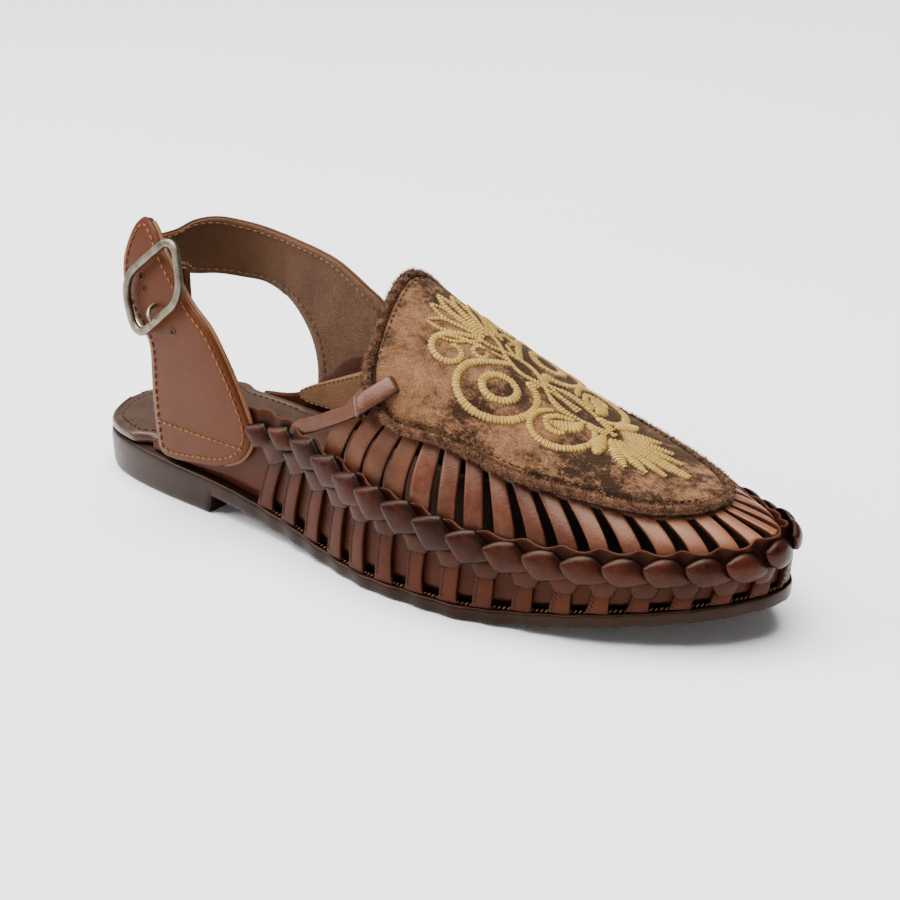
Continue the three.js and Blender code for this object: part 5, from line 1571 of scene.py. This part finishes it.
# %% Back strap
HEEL_RADIUS, HEEL_MIDDLE = 29.5, 49.5
QUARTER = HEEL_RADIUS * math.pi / 2
BACK_SPAN, BACK_HEIGHT = 97, 84
BACK_ROWS = [  # lower edge s and z, upper edge s and z, as shares of the span and the height
    (0.625, 0.235, 0.985, 0.30), (0.628, 0.300, 1.0, 0.44), (0.630, 0.381, 1.0, 0.60),
    (0.620, 0.454, 0.965, 0.742), (0.597, 0.523, 0.893, 0.798), (0.558, 0.589, 0.761, 0.871),
    (0.505, 0.649, 0.650, 0.903), (0.403, 0.711, 0.480, 0.937), (0.306, 0.731, 0.335, 0.975),
    (0.218, 0.750, 0.225, 1.0), (0.149, 0.758, 0.149, 0.993), (0.075, 0.774, 0.075, 0.965),
    (-0.05, 0.785, -0.05, 0.965), (-0.20, 0.790, -0.20, 0.975), (-0.38, 0.790, -0.38, 0.980),
    (-0.53, 0.790, -0.53, 0.980)]
BUCKLE_X = 49.2
BUCKLE_HALF = -float(strap_point(BUCKLE_X, 84.0, 0)[0][1]) - 8.7


def back_point(s, z, lift):
    """A point on the back strap's inner face, moved out from the foot by a lift."""
    s, z, lift = np.broadcast_arrays(np.asarray(s, float), np.asarray(z, float), np.asarray(lift, float))
    theta = np.clip(s / HEEL_RADIUS, -math.pi / 2, math.pi / 2)
    reach_y = np.where(s < 0, BUCKLE_HALF, HEEL_RADIUS)
    x = HEEL_MIDDLE - HEEL_RADIUS * np.cos(theta)
    y = reach_y * np.sin(theta)
    past, before = s > QUARTER, s < -QUARTER
    x = np.where(past, HEEL_MIDDLE + s - QUARTER, np.where(before, HEEL_MIDDLE - s - QUARTER, x))
    straight_y = half_width(1, x / LENGTH) - BAND_INSET + CLEAR
    y = np.where(past, straight_y, np.where(before, -BUCKLE_HALF, y))
    n = unit(np.stack([-np.cos(theta) * reach_y / HEEL_RADIUS, np.sin(theta), np.zeros_like(s)], -1))
    n = np.where(before[..., None], np.array([0, -1.0, 0]), n)
    n = np.where(past[..., None], np.array([0, 1.0, 0]), n)
    return np.stack([x, y, z], -1) + n * lift[..., None], n


rows = np.array(BACK_ROWS)
low_line, top_line = (smooth_line(rows[:, k:k + 2] * (BACK_SPAN, BACK_HEIGHT), 260) for k in (0, 2))
u = np.linspace(0, 1, 19)
plan = low_line[:, None] + (top_line - low_line)[:, None] * u[None, :, None]


def back_layer(low_lift, high_lift, shrink, name, material, node=None, tone=0.0):
    """One layer of the back strap, from one lift to another, its edges rounded."""
    layer = Shape()
    rim = np.abs(2 * u - 1)[None] ** 9
    z = plan[..., 1] + shrink * (1 - 2 * u)[None]
    inside, _ = back_point(plan[..., 0], z, low_lift + 0.35 * rim * (low_lift < 0.5))
    outside, _ = back_point(plan[..., 0], z, high_lift - 0.4 * rim)
    net = np.concatenate([inside, outside[:, ::-1]], 1)
    across = np.concatenate([2 * u - 1, (2 * u - 1)[::-1]])[None]
    layer.grid(net, wrap=True, ends=True, across=across, along=plan[:, :1, 0], tone=tone)
    return layer.object(name, material, "strap_leather", *([node] if node else []))


back_leather = leather("back strap leather", (0.074, 0.0205, 0.0080), (0.046, 0.0128, 0.0055),
                       (0.115, 0.038, 0.016), rough=0.46, grain=1200, edge=0.4, mottle=0.6, gloss=0.2)
inner_leather = leather("back strap lining", (0.088, 0.039, 0.0185), (0.054, 0.023, 0.0115),
                        (0.235, 0.130, 0.073), rough=0.62, depth=0.00034, edge=0.4, mottle=0.6)
# Painted light and shade: the lining is darker at the heel and lighter towards the front.
lining_light_and_shade = 1.5 * np.clip((plan[:, :1, 0] - 40) / 45, 0, 1) - 0.2
back_layer(1.25, 2.6, 0.0, "back_strap_body", back_leather, "back_strap")
back_layer(0.0, 1.2, 0.35, "back_strap_lining", inner_leather, tone=lining_light_and_shade)

# %% [markdown]
# ## Stitching of the back strap
# The same seam shows on both faces of the strap, near each edge, so every line is sewn twice: once on
# the outer face and once on the inner one, facing the other way.

# %% Stitching of the back strap
tan_seam = thread("lining thread", (0.25, 0.125, 0.058), (0.09, 0.04, 0.02))
lines = []
for share in (0.10, 0.90):
    at = (low_line + (top_line - low_line) * share)[6:]
    for lift, facing in ((2.6, 1), (0.0, -1)):
        p, n = back_point(at[:, 0], at[:, 1], lift)
        lines.append((p, n * facing))
sewn("back_strap_stitching", lines, tan_seam, "strap_leather", 2.75, 2.2, 0.32, 0.1)

# %% [markdown]
# ## Lining patch
# Where the back strap ends inside the band, a pale patch of lining covers its end. It is a short wall
# with a rounded rear end, just inside the band, and it is stitched along both its long edges.

# %% Lining patch inside the inner side
PATCH_REAR, PATCH_FRONT, PATCH_ROUND = 58.5, 90, 6
patch_leather = leather("lining patch leather", (0.230, 0.115, 0.058), (0.15, 0.068, 0.034),
                        (0.31, 0.170, 0.095), rough=0.6, grain=1100, depth=0.00025, edge=0.6, mottle=0.7)
x = np.linspace(PATCH_REAR, PATCH_FRONT, 60)
inside = half_width(1, x / LENGTH) - ROOM
rear_end = 1 - np.clip((x - PATCH_REAR) / PATCH_ROUND, 0, 1)
rounding = 1 - np.sqrt(np.clip(1 - rear_end ** 2, 0, 1))
low = np.maximum(sole_top(x) + CLEAR + FOOTBED + 0.8, 19.0) + rounding * 2.6
high = 24.4 + (x - 60) * 0.45 - rounding * 1.0
w = np.linspace(0, 1, 16)
z = low[:, None] + (high - low)[:, None] * w[None]
faces = []
for lift, rounded_off in ((0.15, 0), (1.4, 0.45)):
    y = (inside - lift)[:, None] + rounded_off * np.abs(2 * w - 1)[None] ** 8
    faces.append(np.stack([np.broadcast_to(x[:, None], z.shape), y, z], -1))
tab = Shape()
tab.grid(np.concatenate([faces[0], faces[1][:, ::-1]], 1), wrap=True, ends=True,
         across=np.concatenate([2 * w - 1, (2 * w - 1)[::-1]])[None])
tab.object("lining_patch", patch_leather, "lining_leather", "lining_tab")
facing_in = np.tile((0, -1.0, 0), (58, 1))
lines = [(faces[1][2:, row], facing_in) for row in (1, -2)]
sewn("lining_patch_stitching", lines, tan_seam, "lining_leather", 2.4, 1.9, 0.28, 0.1)

# %% [markdown]
# ## Pewter
# The buckle is cast metal, brushed and then worn: light on its ridges, brown in its hollows. Full
# metallic with two noises does it, one stretched along the brushing, and painted shade on the side of
# the frame that faces the strap.

# %% Antique pewter
g = Graph("antique pewter", Metallic=1.0)
brushed = g.noise(1600, 3, 0.6, (0.35, 1.0, 1.0))
worn = g.noise(260, 4, 0.6)
color = g.mix((0.070, 0.055, 0.037), (0.235, 0.200, 0.145), (worn * 0.7 + brushed * 0.3).above(0.3, 0.62))
color = g.mix(color, (0.06, 0.05, 0.04), g.value("dark") * 0.8)
pewter = g.finish(color, 0.36 + brushed * 0.16, brushed + worn * 0.6, 0.00006, 0.5)
print("pewter ready")

# %% [markdown]
# ## Buckle frame
# A flat rounded rectangle hangs on a round bar, a little askew. A torus can't take square corners, and
# a bevelled outline would not follow the strap, so a rounded section is swept round an outline that is
# laid on the strap's own face.

# %% Buckle frame and bar
C45 = math.cos(math.pi / 4)
BUCKLE_Z, PRONG_THICK, BAR_RADIUS = 75.4, 0.85, 1.1
FRAME_LONG, FRAME_WIDE, FRAME_BAR, FRAME_CORNER = 31.4, 21.1, 1.2, 6.6
FRAME_X, FRAME_Z, FRAME_TURN, FRAME_SKEW = 50.1, 75.1, math.radians(38.4), 0.30


def buckle_point(along, across, lift):
    return strap_point(BUCKLE_X + (along - across) * C45, BUCKLE_Z + (along + across) * C45, lift)


def ring_point(along, across, lift):
    """The frame hangs a little askew on its bar."""
    along = along + FRAME_SKEW * across
    c, s = math.cos(FRAME_TURN), math.sin(FRAME_TURN)
    return strap_point(FRAME_X + along * c - across * s, FRAME_Z + along * s + across * c, lift)


corner_long = FRAME_LONG / 2 - FRAME_BAR - FRAME_CORNER
corner_wide = FRAME_WIDE / 2 - FRAME_BAR - FRAME_CORNER
outline = []
for quarter, (a, b) in enumerate(((1, 1), (-1, 1), (-1, -1), (1, -1))):
    angles = np.radians(90 * quarter + np.linspace(0, 90, 9))
    arc = FRAME_CORNER * np.stack([np.cos(angles), np.sin(angles)], 1)
    outline.append(arc + (a * corner_long, b * corner_wide))
outline = smooth_line(np.concatenate(outline), 240, closed=True)
centre, n = ring_point(outline[:, 0], outline[:, 1], 2.5)
along = unit(np.roll(centre, -1, 0) - np.roll(centre, 1, 0))
side_dir = unit(np.cross(along, n))
c, s = section(20, 3.4)
p = centre[:, None] + side_dir[:, None] * (1.35 * c)[None, :, None] + n[:, None] * (1.05 * s)[None, :, None]
buckle = Shape()
# Painted shade: the half of the frame's section towards the strap is darker.
buckle.grid(np.concatenate([p, p[:1]]), wrap=True, dark=np.where(s < 0, 0.7, 0.0)[None])
bar, _ = buckle_point(np.zeros(20), np.linspace(-13.95, 13.95, 20), -(STRAP_THICK + CLEAR + BAR_RADIUS))
cord(buckle, bar, BAR_RADIUS, 14)
buckle.object("buckle_metal_frame", pewter, "buckle_metal", "buckle_frame")

# %% [markdown]
# ## Prong
# The prong turns about the bar, comes up through a hole of the strap and rests on the frame. It is a
# cord along a few points over the strap, thinner towards its tip.

# %% Prong
PRONG_AT, ON_FRAME = -4.4, 1.2 + 2.6 + PRONG_THICK
PRONG = [  # across the strap, lift off it
    (-4.0, -4.4), (-4.0, -1.2), (-4.3, 1.0), (-5.6, ON_FRAME * 0.7), (-7.65, ON_FRAME), (-9.5, ON_FRAME)]
line = smooth_line(np.array([buckle_point(PRONG_AT, across, lift)[0] for across, lift in PRONG]), 60)
rounded_tip = np.sqrt(np.clip((60 - np.arange(60)) / 4, 0.1, 1))
prong = Shape()
cord(prong, line, PRONG_THICK * (1 - 0.25 * np.linspace(0, 1, 60)) * rounded_tip, 14)
prong.object("buckle_metal_prong", pewter, "buckle_metal", "buckle_prong")

# %% [markdown]
# ## Floor
# The photograph is a shop picture on a white sweep. A curved sweep would do, but from this height
# only its flat part is seen, so a wide plane of pale paper is enough.

# %% Floor
floor_mesh = bpy.data.meshes.new("floor")
floor_mesh.from_pydata([(-6, -6, 0), (6, -6, 0), (6, 6, 0), (-6, 6, 0)], [], [(0, 1, 2, 3)])
floor_piece = bpy.data.objects.new("floor", floor_mesh)
bpy.context.scene.collection.objects.link(floor_piece)
g = Graph("pale floor", Specular_IOR_Level=0.2)
paper = g.noise(3, 2)
floor_mesh.materials.append(g.finish(g.mix((0.90, 0.90, 0.90), (0.94, 0.94, 0.94), paper), 0.7))
print("floor", floor_mesh.vertices[1].co.x * 2, "m wide")

# %% [markdown]
# ## Light
# Large soft boxes stand above and to the left, and leave a short soft shadow under the sole. One lamp
# would make it hard, so a wide sun fills in from above, with a weak box in front for the dark leather.

# %% Lights
def linked_lamp(name, light, ahead):
    lamp = bpy.data.objects.new(name, light)
    bpy.context.scene.collection.objects.link(lamp)
    lamp.rotation_euler = Vector(ahead).to_track_quat("-Z", "Y").to_euler()
    return lamp


def softbox(name, place, look, size, power):
    light = bpy.data.lights.new(name, "AREA")
    light.shape, light.size, light.size_y = "RECTANGLE", size[0], size[1]
    light.energy = power
    lamp = linked_lamp(name, light, Vector(look) - Vector(place))
    lamp.location = place
    print(name, power, "W")


softbox("overhead", (-0.1, 0.05, 1.5), (0, 0, 0), (1.7, 1.5), 24)
softbox("left_key", (-1.15, -0.75, 0.95), (0, 0, 0.05), (0.8, 0.8), 23)
softbox("front_fill", (0.5, -1.4, 0.5), (0, 0, 0.04), (0.7, 0.4), 3)
ceiling = bpy.data.lights.new("ceiling", "SUN")
ceiling.energy, ceiling.angle = 6.6, math.radians(58)
linked_lamp("ceiling", ceiling, (0.22, -0.05, -1.0))
world = bpy.data.worlds.new("white room")
bpy.context.scene.world = world
world.use_nodes = True
background = world.node_tree.nodes["Background"]
background.inputs["Color"].default_value = (1, 1, 1, 1)
background.inputs["Strength"].default_value = 0.20

# %% [markdown]
# ## Camera
# The camera stands where the photograph was taken from. Its place, turn and lens were fitted to the
# sole, the rim and the straps' edges in the photo, since a guess by eye would leave small shifts.

# %% Camera
AZIMUTH, ELEVATION = math.radians(35.16), math.radians(22.858)
SPOT = (420.75, -393.8, 231.99)
camera_data = bpy.data.cameras.new("camera")
camera_data.sensor_width, camera_data.lens = 36.0, 64.83
camera = bpy.data.objects.new("camera", camera_data)
bpy.context.scene.collection.objects.link(camera)
camera.location = (np.array(SPOT) + SHIFT) * MM
level = math.cos(ELEVATION)
ahead = Vector((-math.sin(AZIMUTH) * level, math.cos(AZIMUTH) * level, -math.sin(ELEVATION)))
camera.rotation_euler = ahead.to_track_quat("-Z", "Y").to_euler()
bpy.context.scene.camera = camera
print(f"camera at azimuth {math.degrees(AZIMUTH):.1f}, elevation {math.degrees(ELEVATION):.1f}")

# %% [markdown]
# ## The last update
# The view layer is brought up to date once more, so that every piece stands in its place.

# %% The last update
bpy.context.view_layer.update()
